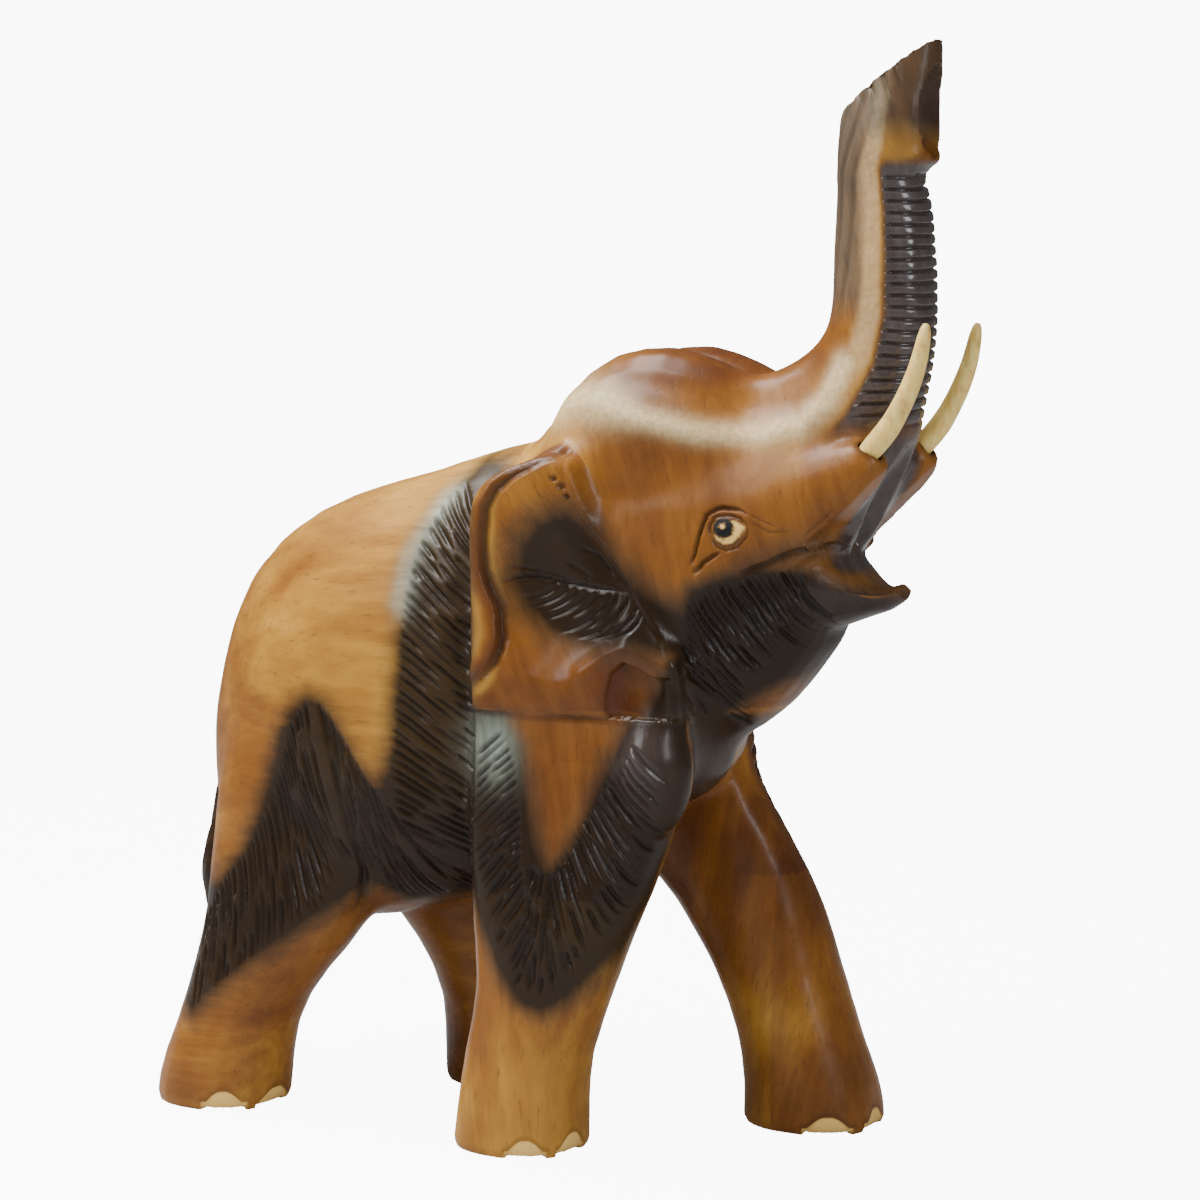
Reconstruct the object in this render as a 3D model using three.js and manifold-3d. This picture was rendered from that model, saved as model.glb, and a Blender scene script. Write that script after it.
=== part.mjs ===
// A carved wooden elephant, walking with its trunk raised, in millimetres.
// +X is the way it faces, +Y its left side, +Z up. The four soles stand on z = 0 and the origin is
// under the middle of the figure's box.
//
// The figure is glued up from blocks: a torso with the hind legs and tail, a head with the neck and
// trunk, two ear slabs and two foreleg blocks. Hidden dowels hold the blocks, and the two tusks are
// pegs that push into drilled sockets.

import * as THREE from "three";
import { mergeVertices } from "three/addons/utils/BufferGeometryUtils.js";
import Module from "manifold-3d";

// Driving dimensions.
const GAP = 0.35; // glue line between two blocks
const SHOULDER_Z = 167; // level joint between the ear slabs and the foreleg blocks
const NECK_X = -3; // upright joint between the torso and the head block
const FOOT_Y = 42; // each foot's distance from the middle
const SIDE_Y = 62; // the ears' and shoulders' outer faces at their rear edge, from the middle
const RIGHT_EAR_REACH = 80; // how far forward the right ear runs
const LEFT_EAR_REACH = 68;
const EAR_SPLAY = 0.17; // how far the ears turn out towards the rear, in radians
const TUSK_Y = 23; // each tusk's distance from the middle
const TUSK_RADIUS = 4.5; // at its thickest
const PEG_LENGTH = 12; // the straight root of each tusk, inside its socket
const SOCKET_RADIUS = 4.6;
const SOCKET_DEPTH = 13;
const DOWEL_RADIUS = 5;
const DOWEL_LENGTH = 36;
const LEG_DOWEL_LENGTH = 26;
const FAR = 600; // larger than the figure, for cutting blocks

const wasm = await Module();
wasm.setup();

// Conversions between three.js geometry and manifold-3d solids.

function toSolid(geometry) {
  const bare = geometry.index ? geometry.toNonIndexed() : geometry.clone();
  bare.deleteAttribute("normal");
  bare.deleteAttribute("uv");
  const merged = mergeVertices(bare, 1e-4);
  return new wasm.Manifold(
    new wasm.Mesh({
      numProp: 3,
      vertProperties: merged.attributes.position.array,
      triVerts: new Uint32Array(merged.index.array),
    }),
  );
}

function toGeometry(solid) {
  const mesh = solid.getMesh();
  const position = new THREE.BufferAttribute(mesh.vertProperties, 3);
  const geometry = new THREE.BufferGeometry().setAttribute("position", position);
  geometry.setIndex(new THREE.BufferAttribute(mesh.triVerts, 1));
  geometry.computeVertexNormals();
  return geometry;
}

const join = (...solids) => solids.reduce((whole, next) => whole.add(next));

/** A box between two corners, as a solid. */
function box(low, high) {
  const size = high.map((value, i) => value - low[i]);
  const geometry = new THREE.BoxGeometry(...size);
  geometry.translate(...low.map((value, i) => value + size[i] / 2));
  return toSolid(geometry);
}

/** An ellipsoid, as a solid. */
function ellipsoid(centre, radii, turnY = 0) {
  const geometry = new THREE.SphereGeometry(1, 20, 14);
  geometry.scale(...radii);
  geometry.rotateY(turnY);
  geometry.translate(...centre);
  return toSolid(geometry);
}

/** A round bar from one point along a direction, as a solid. */
function bar(start, direction, length, radius, sides = 20) {
  const geometry = new THREE.CylinderGeometry(radius, radius, length, sides);
  geometry.translate(0, length / 2, 0);
  const turn = new THREE.Quaternion().setFromUnitVectors(
    new THREE.Vector3(0, 1, 0),
    direction.clone().normalize(),
  );
  geometry.applyQuaternion(turn);
  geometry.translate(...start);
  return toSolid(geometry);
}

/**
 * A limb through a list of stations, as a solid. A station is
 * [x, y, z, half width, half depth, squareness]: width runs across the figure and depth is square
 * to it, squareness 2 is an ellipse and more is boxier.
 * Sections stand square to the path, or to `normal` where that is given. `lean` narrows the
 * section's +depth side, and `grow` swells the limb evenly, for cutting its neighbour.
 */
function limb(stations, options = {}) {
  const { normal, around = 22, along = 16, lean = 0, grow = 0 } = options;
  const curveThrough = (points) => new THREE.CatmullRomCurve3(points, false, "catmullrom", 0.5);
  const path = curveThrough(stations.map((s) => new THREE.Vector3(s[0], s[1], s[2])));
  const sizes = curveThrough(stations.map((s) => new THREE.Vector3(s[3], s[4], s[5])));
  const geometry = new THREE.CylinderGeometry(1, 1, 1, around, along);
  const across = new THREE.Vector3(0, -1, 0);
  const spots = geometry.attributes.position;
  for (let i = 0; i < spots.count; i++) {
    const v = new THREE.Vector3().fromBufferAttribute(spots, i);
    const t = THREE.MathUtils.clamp(v.y + 0.5, 0, 1);
    const radius = Math.hypot(v.x, v.z);
    const cos = radius ? v.x / radius : 0;
    const sin = radius ? v.z / radius : 0;
    const size = sizes.getPoint(t);
    const tangent = normal ?? path.getTangent(t).setY(0).normalize();
    const deep = across.clone().cross(tangent);
    const bend = 2 / Math.max(size.z, 1.2);
    const side = Math.sign(cos) * Math.abs(cos) ** bend * radius;
    const up = Math.sign(sin) * Math.abs(sin) ** bend * radius;
    const spot = path.getPoint(t);
    spot.addScaledVector(tangent, t === 0 ? -grow : t === 1 ? grow : 0);
    spot.addScaledVector(across, side * (size.x * (1 - lean * up) + grow));
    spot.addScaledVector(deep, up * (size.y + grow));
    spots.setXYZ(i, spot.x, spot.y, spot.z);
  }
  return toSolid(geometry);
}

const UPRIGHT = new THREE.Vector3(0, 0, 1);
const FORWARD = new THREE.Vector3(1, 0, 0);

/** The same stations on the other side of the middle. */
const mirrored = (stations) => stations.map(([x, y, ...rest]) => [x, -y, ...rest]);

// Torso, hind legs and tail.

const TORSO = [
  [-153, 0, 140, 8, 10, 2],
  [-150, 0, 140, 20, 34, 2],
  [-142, 0, 143, 32, 56, 2.1],
  [-128, 0, 150, 43, 70, 2.2],
  [-106, 0, 156, 54, 80, 2.3],
  [-78, 0, 160, 61, 87, 2.3],
  [-48, 0, 168, 62, 87, 2.3],
  [-18, 0, 177, 59, 87, 2.3],
  [6, 0, 184, 51, 84, 2.3],
  [30, 0, 185, 44, 71, 2.3],
  [50, 0, 180, 38, 54, 2.2],
  [64, 0, 172, 31, 39, 2.1],
  [73, 0, 166, 20, 23, 2],
  [77, 0, 163, 8, 10, 2],
];

const RIGHT_HIND_LEG = [
  [-131, -FOOT_Y - 1, 0, 23, 24, 2.4],
  [-131, -FOOT_Y - 1, 3, 24.5, 26, 2.4],
  [-129, -FOOT_Y - 1, 16, 25, 25.5, 2.3],
  [-123, -FOOT_Y, 36, 24, 24, 2.2],
  [-113, -FOOT_Y + 1, 56, 24, 28, 2.2],
  [-102, -FOOT_Y + 4, 78, 24, 36, 2.2],
  [-97, -FOOT_Y + 8, 104, 24, 41, 2.2],
  [-95, -FOOT_Y + 10, 132, 25, 40, 2.1],
  [-94, -FOOT_Y + 12, 158, 22, 34, 2],
  [-94, -FOOT_Y + 18, 176, 14, 22, 2],
];

const LEFT_HIND_LEG = [
  [-48, FOOT_Y, 0, 23, 24, 2.4],
  [-48, FOOT_Y, 3, 24.5, 25.5, 2.4],
  [-49, FOOT_Y, 16, 24.5, 25, 2.3],
  [-53, FOOT_Y, 38, 23.5, 24, 2.2],
  [-62, FOOT_Y - 1, 60, 24, 28, 2.2],
  [-75, FOOT_Y - 4, 82, 24, 36, 2.2],
  [-88, FOOT_Y - 8, 106, 24, 41, 2.2],
  [-94, FOOT_Y - 10, 132, 25, 40, 2.1],
  [-94, FOOT_Y - 12, 158, 22, 34, 2],
  [-94, FOOT_Y - 18, 176, 14, 22, 2],
];

const TAIL = [
  [-134, 0, 203, 4, 4, 2],
  [-144, -1, 184, 5, 6, 2],
  [-150, -2, 158, 5, 8, 2],
  [-152, -3, 130, 5, 10, 2],
  [-153, -6, 104, 6.5, 11, 2],
  [-154, -10, 86, 8, 12, 2],
  [-150, -14, 68, 6, 9, 2],
];

function torsoCore(grow = 0) {
  return limb(TORSO, { normal: FORWARD, around: 32, along: 22, lean: 0.07, grow });
}

const inFront = box([NECK_X + GAP / 2, -FAR, -FAR], [FAR, FAR, FAR]);
const behind = box([-FAR, -FAR, -FAR], [NECK_X - GAP / 2, FAR, FAR]);

function torsoSolid() {
  return join(
    torsoCore().intersect(behind),
    limb(RIGHT_HIND_LEG, { normal: UPRIGHT }),
    limb(LEFT_HIND_LEG, { normal: UPRIGHT }),
    limb(TAIL, { around: 10, along: 14 }),
  );
}

// Head block: chest, neck, jaw, skull, tusk lips and trunk.

const SKULL = [
  [0, 0, 236, 30, 32, 2.2],
  [8, 0, 234, 37, 44, 2.3],
  [26, 0, 229, 42, 50, 2.4],
  [50, 0, 228, 44, 52, 2.5],
  [74, 0, 229, 43, 50, 2.5],
  [94, 0, 236, 39, 45, 2.4],
  [110, 0, 245, 33, 37, 2.3],
  [122, 0, 254, 27, 28, 2.2],
  [132, 0, 261, 16, 18, 2.1],
  [136, 0, 265, 8, 9, 2],
];

const DOME = [
  [6, -12, 250, 12, 12, 2],
  [14, -14, 256, 22, 24, 2],
  [30, -15, 260, 27, 37, 2],
  [54, -15, 262, 27, 41, 2],
  [76, -14, 260, 24, 39, 2],
  [94, -12, 260, 17, 31, 2],
  [108, -10, 264, 8, 18, 2],
];

const NECK = [
  [-20, 0, 205, 50, 52, 2.3],
  [10, 0, 206, 44, 50, 2.3],
  [40, 0, 200, 40, 46, 2.3],
  [62, 0, 190, 36, 40, 2.2],
  [80, 0, 184, 26, 30, 2.1],
];

const JAW = [
  [56, 0, 182, 34, 34, 2.2],
  [76, 0, 192, 35, 33, 2.2],
  [96, 0, 205, 32, 27, 2.2],
  [114, 0, 214, 26, 19, 2.2],
  [127, 0, 213, 19, 12.5, 2.1],
  [139, 0, 212.5, 13, 8.5, 2.1],
  [147, 0, 214, 7, 4.5, 2],
];

const LIP = [
  [82, -20, 234, 20, 30, 2.2],
  [102, -22, 242, 16, 25, 2.2],
  [120, -22, 250, 13, 19, 2.2],
  [133, -22, 256.5, 10.5, 13.5, 2.2],
  [142, -22, 262, 9, 9.5, 2.1],
  [147, -22, 265, 5, 5, 2],
];

const TRUNK = [
  [92, 0, 244, 32, 38, 2.2],
  [108, 0, 262, 29.5, 36, 2.2],
  [124, 0, 279, 23.5, 29, 2.2],
  [134.5, 0, 297, 18.5, 22.5, 2.2],
  [138.5, 0, 314, 16.8, 20, 2.2],
  [138.5, 0, 334, 16.4, 19.3, 2.2],
  [138, 0, 352, 15.3, 18, 2.2],
  [136.5, 0, 366, 14.5, 16, 2.3],
  [139.5, 0, 380, 14.5, 18.5, 2.4],
  [141.5, 0, 396, 13, 17.5, 2.4],
  [142, 0, 420, 10, 17, 2.4],
];

/** The blocky middle of the head that the ears and forelegs fit against. */
function headCore(grow = 0) {
  return join(
    limb(SKULL, { normal: FORWARD, around: 28, along: 18, lean: 0.08, grow }),
    limb(NECK, { normal: FORWARD, around: 24, along: 8, grow }),
    limb(JAW, { around: 22, along: 14, lean: -0.12, grow }),
    ...[DOME, mirrored(DOME)].map((d) =>
      limb(d, { normal: FORWARD, around: 20, along: 13, grow }),
    ),
    ...[LIP, mirrored(LIP)].map((l) => limb(l, { around: 16, along: 11, grow })),
    ellipsoid([97, 0, 222], [26 + grow, 35 + grow, 24 + grow]),
    torsoCore(grow),
  );
}

/** The open mouth, seen from the side, cut right across between the lips. */
function mouthSolid() {
  const shape = new THREE.Shape();
  shape.moveTo(121, 233);
  shape.quadraticCurveTo(126, 223, 136, 222.5);
  shape.quadraticCurveTo(146, 222, 149, 218.5);
  shape.lineTo(190, 222);
  shape.lineTo(190, 300);
  shape.lineTo(155, 268);
  shape.quadraticCurveTo(146, 252, 121, 233);
  const geometry = new THREE.ExtrudeGeometry(shape, {
    depth: 120,
    bevelEnabled: false,
    curveSegments: 6,
  });
  geometry.rotateX(Math.PI / 2);
  geometry.translate(0, 60, 0);
  return toSolid(geometry);
}

function headSolid() {
  const trunk = limb(TRUNK, { around: 22, along: 26 });
  const palate = ellipsoid([150, 0, 250], [34, 10, 14], -0.86);
  const nostril = ellipsoid([160, 0, 387], [16, 9.5, 17]);
  const finger = ellipsoid([151, 0, 371.5], [7, 11, 5]);
  const tipCut = box([-60, -60, 0], [60, 60, 60]).rotate([0, -36, 0]).translate([140, 0, 399.5]);
  return join(headCore(), trunk.subtract(tipCut), finger)
    .subtract(mouthSolid().subtract(trunk))
    .subtract(palate)
    .subtract(nostril)
    .subtract(socketSolid(-1))
    .subtract(socketSolid(1))
    .intersect(inFront);
}

// Foreleg blocks.

const RIGHT_FORELEG = [
  [9, -FOOT_Y, 0, 22.5, 23.5, 2.4],
  [9, -FOOT_Y, 3, 24, 25, 2.4],
  [10, -FOOT_Y, 18, 24, 24.5, 2.3],
  [13, -FOOT_Y, 38, 22.5, 24.5, 2.2],
  [20, -FOOT_Y, 62, 22.5, 26.5, 2.2],
  [25, -FOOT_Y, 88, 22, 31.5, 2.4],
  [29, -FOOT_Y + 3, 116, 20, 37, 2.8],
  [31, -FOOT_Y + 6, 142, 18.5, 39.5, 3.2],
  [31.5, -FOOT_Y + 7, 160, 18, 40, 3.4],
  [31.5, -FOOT_Y + 7, 175, 18, 40, 3.4],
];

const LEFT_FORELEG = [
  [91, FOOT_Y + 1, 0, 23, 25, 2.4],
  [91, FOOT_Y + 1, 3, 24.5, 27, 2.4],
  [90, FOOT_Y + 1, 16, 24.5, 26, 2.3],
  [85, FOOT_Y, 36, 23, 24.5, 2.2],
  [76, FOOT_Y, 60, 23, 25.5, 2.2],
  [63, FOOT_Y, 86, 22.5, 31, 2.3],
  [45, FOOT_Y - 3, 112, 20, 38, 2.6],
  [32, FOOT_Y - 6, 138, 18.5, 36, 3],
  [30, FOOT_Y - 7, 160, 18, 34, 3.2],
  [30, FOOT_Y - 7, 175, 18, 34, 3.2],
];

/** Turns the upper part of a foreleg out towards the rear, to lie under its ear. */
function splayed(solid, side) {
  return solid.warp((v) => {
    const rise = THREE.MathUtils.smoothstep(v[2], 50, 140);
    v[1] += side * rise * EAR_SPLAY * (40 - v[0]);
  });
}

function forelegSolid(stations, side) {
  const leg = splayed(limb(stations, { normal: UPRIGHT, around: 26, along: 18 }), side);
  const shoulder = ellipsoid([65, -40, 148], [15.5, 13, 25]);
  return (side < 0 ? leg.add(shoulder) : leg)
    .subtract(headCore(GAP))
    .subtract(box([-FAR, -FAR, SHOULDER_Z], [FAR, FAR, FAR]));
}

// Ear slabs.

/** The ear's outline, forward and up, as far forward as `reach`. */
function earShape(reach) {
  const shape = new THREE.Shape();
  shape.moveTo(-2, SHOULDER_Z + GAP);
  shape.lineTo(-2, 244);
  shape.quadraticCurveTo(-2, 252, 6, 255);
  shape.lineTo(22, 262);
  shape.quadraticCurveTo(36, 268, 40, 256);
  shape.quadraticCurveTo(44, 240, 54, 222);
  shape.quadraticCurveTo(0.82 * reach, 205, reach - 2, 191);
  shape.quadraticCurveTo(reach + 2, 182, reach - 1, SHOULDER_Z + GAP);
  shape.closePath();
  return shape;
}

/** How far out the right ear's outer face stands, at one distance forward. */
const faceY = (x) => -SIDE_Y + Math.tan(EAR_SPLAY) * (x + 2);

/** The groove that sets the rolled rim off from the ear. */
function rimGroove() {
  const spots = [
    [34, 266],
    [27, 260],
    [14, 254],
    [6.5, 243],
    [5, 222],
    [9, 205],
    [10.5, 196],
    [8, 186],
    [2, 179],
    [-6, 174],
  ];
  const points = spots.map(([x, z]) => new THREE.Vector3(x, faceY(x) - 0.4, z));
  const curve = new THREE.CatmullRomCurve3(points);
  return toSolid(capped(curve, 28, 2.3, 8));
}

/** A round rod along a curve, closed at both ends. */
function capped(curve, along, radius, around) {
  const geometry = new THREE.CylinderGeometry(1, 1, 1, around, along);
  const frames = curve.computeFrenetFrames(along);
  const spots = geometry.attributes.position;
  for (let i = 0; i < spots.count; i++) {
    const v = new THREE.Vector3().fromBufferAttribute(spots, i);
    const k = Math.round(THREE.MathUtils.clamp(v.y + 0.5, 0, 1) * along);
    const spot = curve.getPointAt(k / along);
    spot.addScaledVector(frames.binormals[k], v.x * radius);
    spot.addScaledVector(frames.normals[k], v.z * radius);
    spots.setXYZ(i, spot.x, spot.y, spot.z);
  }
  return geometry;
}

function earSolid(side, reach) {
  const geometry = new THREE.ExtrudeGeometry(earShape(reach), {
    depth: 40,
    bevelThickness: 3,
    bevelSize: 3,
    bevelOffset: -3,
    bevelSegments: 3,
    curveSegments: 6,
  });
  geometry.rotateX(Math.PI / 2);
  geometry.translate(2, 43, 0);
  geometry.rotateZ(EAR_SPLAY);
  geometry.translate(-2, -SIDE_Y, 0);
  let slab = toSolid(geometry)
    .subtract(ellipsoid([44, faceY(44) - 23, 216], [48, 30, 54], 0.35))
    .subtract(ellipsoid([reach - 14, faceY(reach - 14) - 9, 178], [13, 14, 14]))
    .subtract(rimGroove())
    .subtract(box([-FAR, -FAR, -FAR], [FAR, FAR, SHOULDER_Z + GAP]));
  if (side > 0) slab = slab.mirror([0, 1, 0]);
  return slab.subtract(headCore(GAP));
}

// Tusks.

const TUSK_AXIS = new THREE.Vector3(0.66, 0, 0.75).normalize();
const TUSK_MOUTH = new THREE.Vector3(142.5, 0, 265.5); // where a tusk leaves its socket

/** A point on a tusk's socket axis, one distance up from the socket's mouth. */
function onTuskAxis(side, distance) {
  const spot = TUSK_MOUTH.clone().addScaledVector(TUSK_AXIS, distance);
  return [spot.x, side * TUSK_Y, spot.z];
}

function socketSolid(side) {
  const clearAbove = 9;
  const start = onTuskAxis(side, -SOCKET_DEPTH);
  return bar(start, TUSK_AXIS, SOCKET_DEPTH + clearAbove, SOCKET_RADIUS);
}

function tuskSolid(side) {
  // Forward, up and radius of each station past the socket's mouth.
  const blade = [
    [7, 8, TUSK_RADIUS],
    [14, 19, TUSK_RADIUS],
    [19, 31, 4],
    [21.3, 41, 3.3],
    [22, 45, 2.5],
    [22.2, 47, 1.3],
  ];
  const stations = [
    [...onTuskAxis(side, -PEG_LENGTH), 3.6, 3.6, 2],
    [...onTuskAxis(side, -2), 4, 4, 2],
    ...blade.map(([ahead, up, radius]) => {
      const at = [TUSK_MOUTH.x + ahead, side * TUSK_Y, TUSK_MOUTH.z + up];
      return [...at, radius, radius, 2];
    }),
  ];
  return limb(stations, { around: 14, along: 16 });
}

// Dowels.

/** Each hidden dowel: its name, one end and its direction. */
const DOWELS = [
  ["neck_dowel_right", [NECK_X - DOWEL_LENGTH / 2, -20, 196], [1, 0, 0]],
  ["neck_dowel_left", [NECK_X - DOWEL_LENGTH / 2, 20, 196], [1, 0, 0]],
  ["right_leg_dowel_rear", [16, -26, 138], [0, -1, 0]],
  ["right_leg_dowel_front", [42, -19, 138], [0, -1, 0]],
  ["left_leg_dowel_rear", [16, 26, 138], [0, 1, 0]],
  ["left_leg_dowel_front", [40, 19, 138], [0, 1, 0]],
].map(([name, start, direction]) => {
  const along = new THREE.Vector3(...direction);
  const length = name.startsWith("neck") ? DOWEL_LENGTH : LEG_DOWEL_LENGTH;
  const low = new THREE.Vector3(...start).addScaledVector(along, -GAP).toArray();
  return {
    name,
    solid: bar(start, along, length, DOWEL_RADIUS, 24),
    hole: bar(low, along, length + 2 * GAP, DOWEL_RADIUS + GAP, 24),
  };
});
const dowelHoles = join(...DOWELS.map((dowel) => dowel.hole));

// The finished pieces.

const WOODS = {
  torso: { color: 0xa87a3c, roughness: 0.42, metalness: 0 },
  head: { color: 0x9b6428, roughness: 0.4, metalness: 0 },
  ear: { color: 0x8d5226, roughness: 0.35, metalness: 0 },
  leg: { color: 0x8a5228, roughness: 0.38, metalness: 0 },
  tusk: { color: 0xe3cd98, roughness: 0.5, metalness: 0 },
  dowel: { color: 0xc9a26b, roughness: 0.8, metalness: 0 },
};

const elephant = new THREE.Group();

function addPiece(name, solid, wood) {
  const mesh = new THREE.Mesh(toGeometry(solid), new THREE.MeshStandardMaterial(WOODS[wood]));
  mesh.name = name;
  elephant.add(mesh);
}

const RIGHT = -1;
const LEFT = 1;
const rightForeleg = forelegSolid(RIGHT_FORELEG, RIGHT).subtract(dowelHoles);
const leftForeleg = forelegSolid(LEFT_FORELEG, LEFT).subtract(dowelHoles);

addPiece("torso", torsoSolid().subtract(dowelHoles), "torso");
addPiece("head", headSolid().subtract(dowelHoles), "head");
addPiece("right_ear", earSolid(RIGHT, RIGHT_EAR_REACH), "ear");
addPiece("left_ear", earSolid(LEFT, LEFT_EAR_REACH), "ear");
addPiece("right_foreleg", rightForeleg, "leg");
addPiece("left_foreleg", leftForeleg, "leg");
addPiece("right_tusk", tuskSolid(RIGHT), "tusk");
addPiece("left_tusk", tuskSolid(LEFT), "tusk");
for (const dowel of DOWELS) addPiece(dowel.name, dowel.solid, "dowel");

export default elephant;
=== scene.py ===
"""A carved and varnished wooden elephant with its trunk raised and two push-in tusks."""

import logging
import math
import random
from collections.abc import Callable, Sequence
from dataclasses import dataclass, field
from enum import Enum

import bmesh
import bpy
import numpy as np
from mathutils import Matrix, Vector, noise
from mathutils.bvhtree import BVHTree


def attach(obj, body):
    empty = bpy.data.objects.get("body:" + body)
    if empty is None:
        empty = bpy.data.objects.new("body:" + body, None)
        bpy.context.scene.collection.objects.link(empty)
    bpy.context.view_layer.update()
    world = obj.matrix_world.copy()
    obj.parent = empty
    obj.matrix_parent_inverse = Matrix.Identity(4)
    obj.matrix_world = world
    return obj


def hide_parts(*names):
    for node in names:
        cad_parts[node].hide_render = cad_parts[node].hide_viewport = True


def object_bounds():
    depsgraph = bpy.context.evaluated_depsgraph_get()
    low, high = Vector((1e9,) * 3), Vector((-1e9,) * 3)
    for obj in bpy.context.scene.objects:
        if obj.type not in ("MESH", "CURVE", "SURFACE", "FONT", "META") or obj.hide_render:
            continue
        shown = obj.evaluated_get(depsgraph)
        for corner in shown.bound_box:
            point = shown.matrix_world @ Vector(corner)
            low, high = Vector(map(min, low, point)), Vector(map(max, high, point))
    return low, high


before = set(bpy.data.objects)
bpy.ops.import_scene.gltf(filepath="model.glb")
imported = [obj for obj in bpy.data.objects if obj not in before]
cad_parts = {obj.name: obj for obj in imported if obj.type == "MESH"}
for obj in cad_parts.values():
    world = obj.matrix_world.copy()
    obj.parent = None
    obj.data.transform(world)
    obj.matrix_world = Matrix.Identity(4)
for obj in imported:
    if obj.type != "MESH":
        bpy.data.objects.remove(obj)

CAD_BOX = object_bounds()
MM = 0.001  # the patterns below are laid out in millimetres and the meshes are in metres
LOG = logging.getLogger("elephant")

Spots = Sequence[tuple[float, float]]
Array = np.ndarray


class Side(Enum):
    """The two sides of the animal, valued by the sign of Y."""

    RIGHT = -1
    LEFT = 1


class Block(Enum):
    """The glued blocks of wood, valued by CAD node."""

    TORSO = "torso"
    HEAD = "head"
    RIGHT_EAR = "right_ear"
    LEFT_EAR = "left_ear"
    RIGHT_FORELEG = "right_foreleg"
    LEFT_FORELEG = "left_foreleg"


# Small sums on arrays.


def ease(low: float, high: float, value: Array) -> Array:
    """A smooth step from 0 at low to 1 at high, either way round.

    Args:
        low: Where the step starts.
        high: Where it ends.
        value: The values to step.

    Returns:
        The stepped values, from 0 to 1.
    """
    t = np.clip((value - low) / (high - low), 0.0, 1.0)
    return t * t * (3.0 - 2.0 * t)


def bell(value: Array, width: float) -> Array:
    """A bell curve, 1 at 0 and about a third at the width."""
    return np.exp(-((value / width) ** 2))


def along(guide: Spots, t: float) -> Array:
    """A point part of the way along a guide line.

    Args:
        guide: The guide's points.
        t: How far along, from 0 to 1.

    Returns:
        The point.
    """
    spots = np.asarray(guide, float)
    steps = np.hypot(*np.diff(spots, axis=0).T)
    reach = np.concatenate([[0.0], np.cumsum(steps)])
    return np.array([np.interp(t * reach[-1], reach, spots[:, i]) for i in (0, 1)])


def soft_patch(outline: Spots, x: Array, z: Array, softness: float) -> Array:
    """How far points lie inside an outline with a soft edge.

    Args:
        outline: The corners of the outline.
        x: The points' first coordinates.
        z: Their second coordinates.
        softness: Half the width of the soft edge.

    Returns:
        1 well inside, 0 well outside.
    """
    corners = np.asarray(outline, float)
    (x0, z0), (x1, z1) = corners.min(0) - softness, corners.max(0) + softness
    close = (x > x0) & (x < x1) & (z > z0) & (z < z1)
    shade = np.zeros(x.shape)
    x, z = x[close], z[close]
    nearest = np.full(x.shape, 1e9)
    odd = np.zeros(x.shape, bool)
    for (ax, az), (bx, bz) in zip(corners, np.roll(corners, -1, axis=0)):
        dx, dz = bx - ax, bz - az
        t = np.clip(((x - ax) * dx + (z - az) * dz) / (dx * dx + dz * dz), 0, 1)
        nearest = np.minimum(nearest, np.hypot(x - ax - t * dx, z - az - t * dz))
        if az != bz:
            odd ^= ((az > z) != (bz > z)) & (x < dx * (z - az) / dz + ax)
    shade[close] = ease(softness, -softness, np.where(odd, -nearest, nearest))
    return shade


def line_distance(line: Spots, x: Array, z: Array) -> Array:
    """The distance from each point to the nearest part of a line.

    Args:
        line: The line's points in order.
        x: The points' first coordinates.
        z: Their second coordinates.

    Returns:
        The distances.
    """
    nearest = np.full(x.shape, 1e9)
    for (ax, az), (bx, bz) in zip(line, line[1:]):
        dx, dz = bx - ax, bz - az
        t = np.clip(((x - ax) * dx + (z - az) * dz) / (dx * dx + dz * dz), 0, 1)
        nearest = np.minimum(nearest, np.hypot(x - ax - t * dx, z - az - t * dz))
    return nearest


def ripple(spots: Array, size: float, shift: float = 0.0, where: Array | None = None) -> Array:
    """Smooth noise at points, with lumps of one size.

    Args:
        spots: The points in millimetres.
        size: The size of the lumps.
        shift: Moves the lumps, so that two ripples differ.
        where: The points that need it; the rest get 0.

    Returns:
        The noise, about -1 to 1.
    """
    wave = np.zeros(len(spots))
    chosen = np.ones(len(spots), bool) if where is None else where
    wave[chosen] = [noise.noise(p) for p in (spots[chosen] / size + (shift, 0, 0)).tolist()]
    return wave


# Gouge work.


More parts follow.
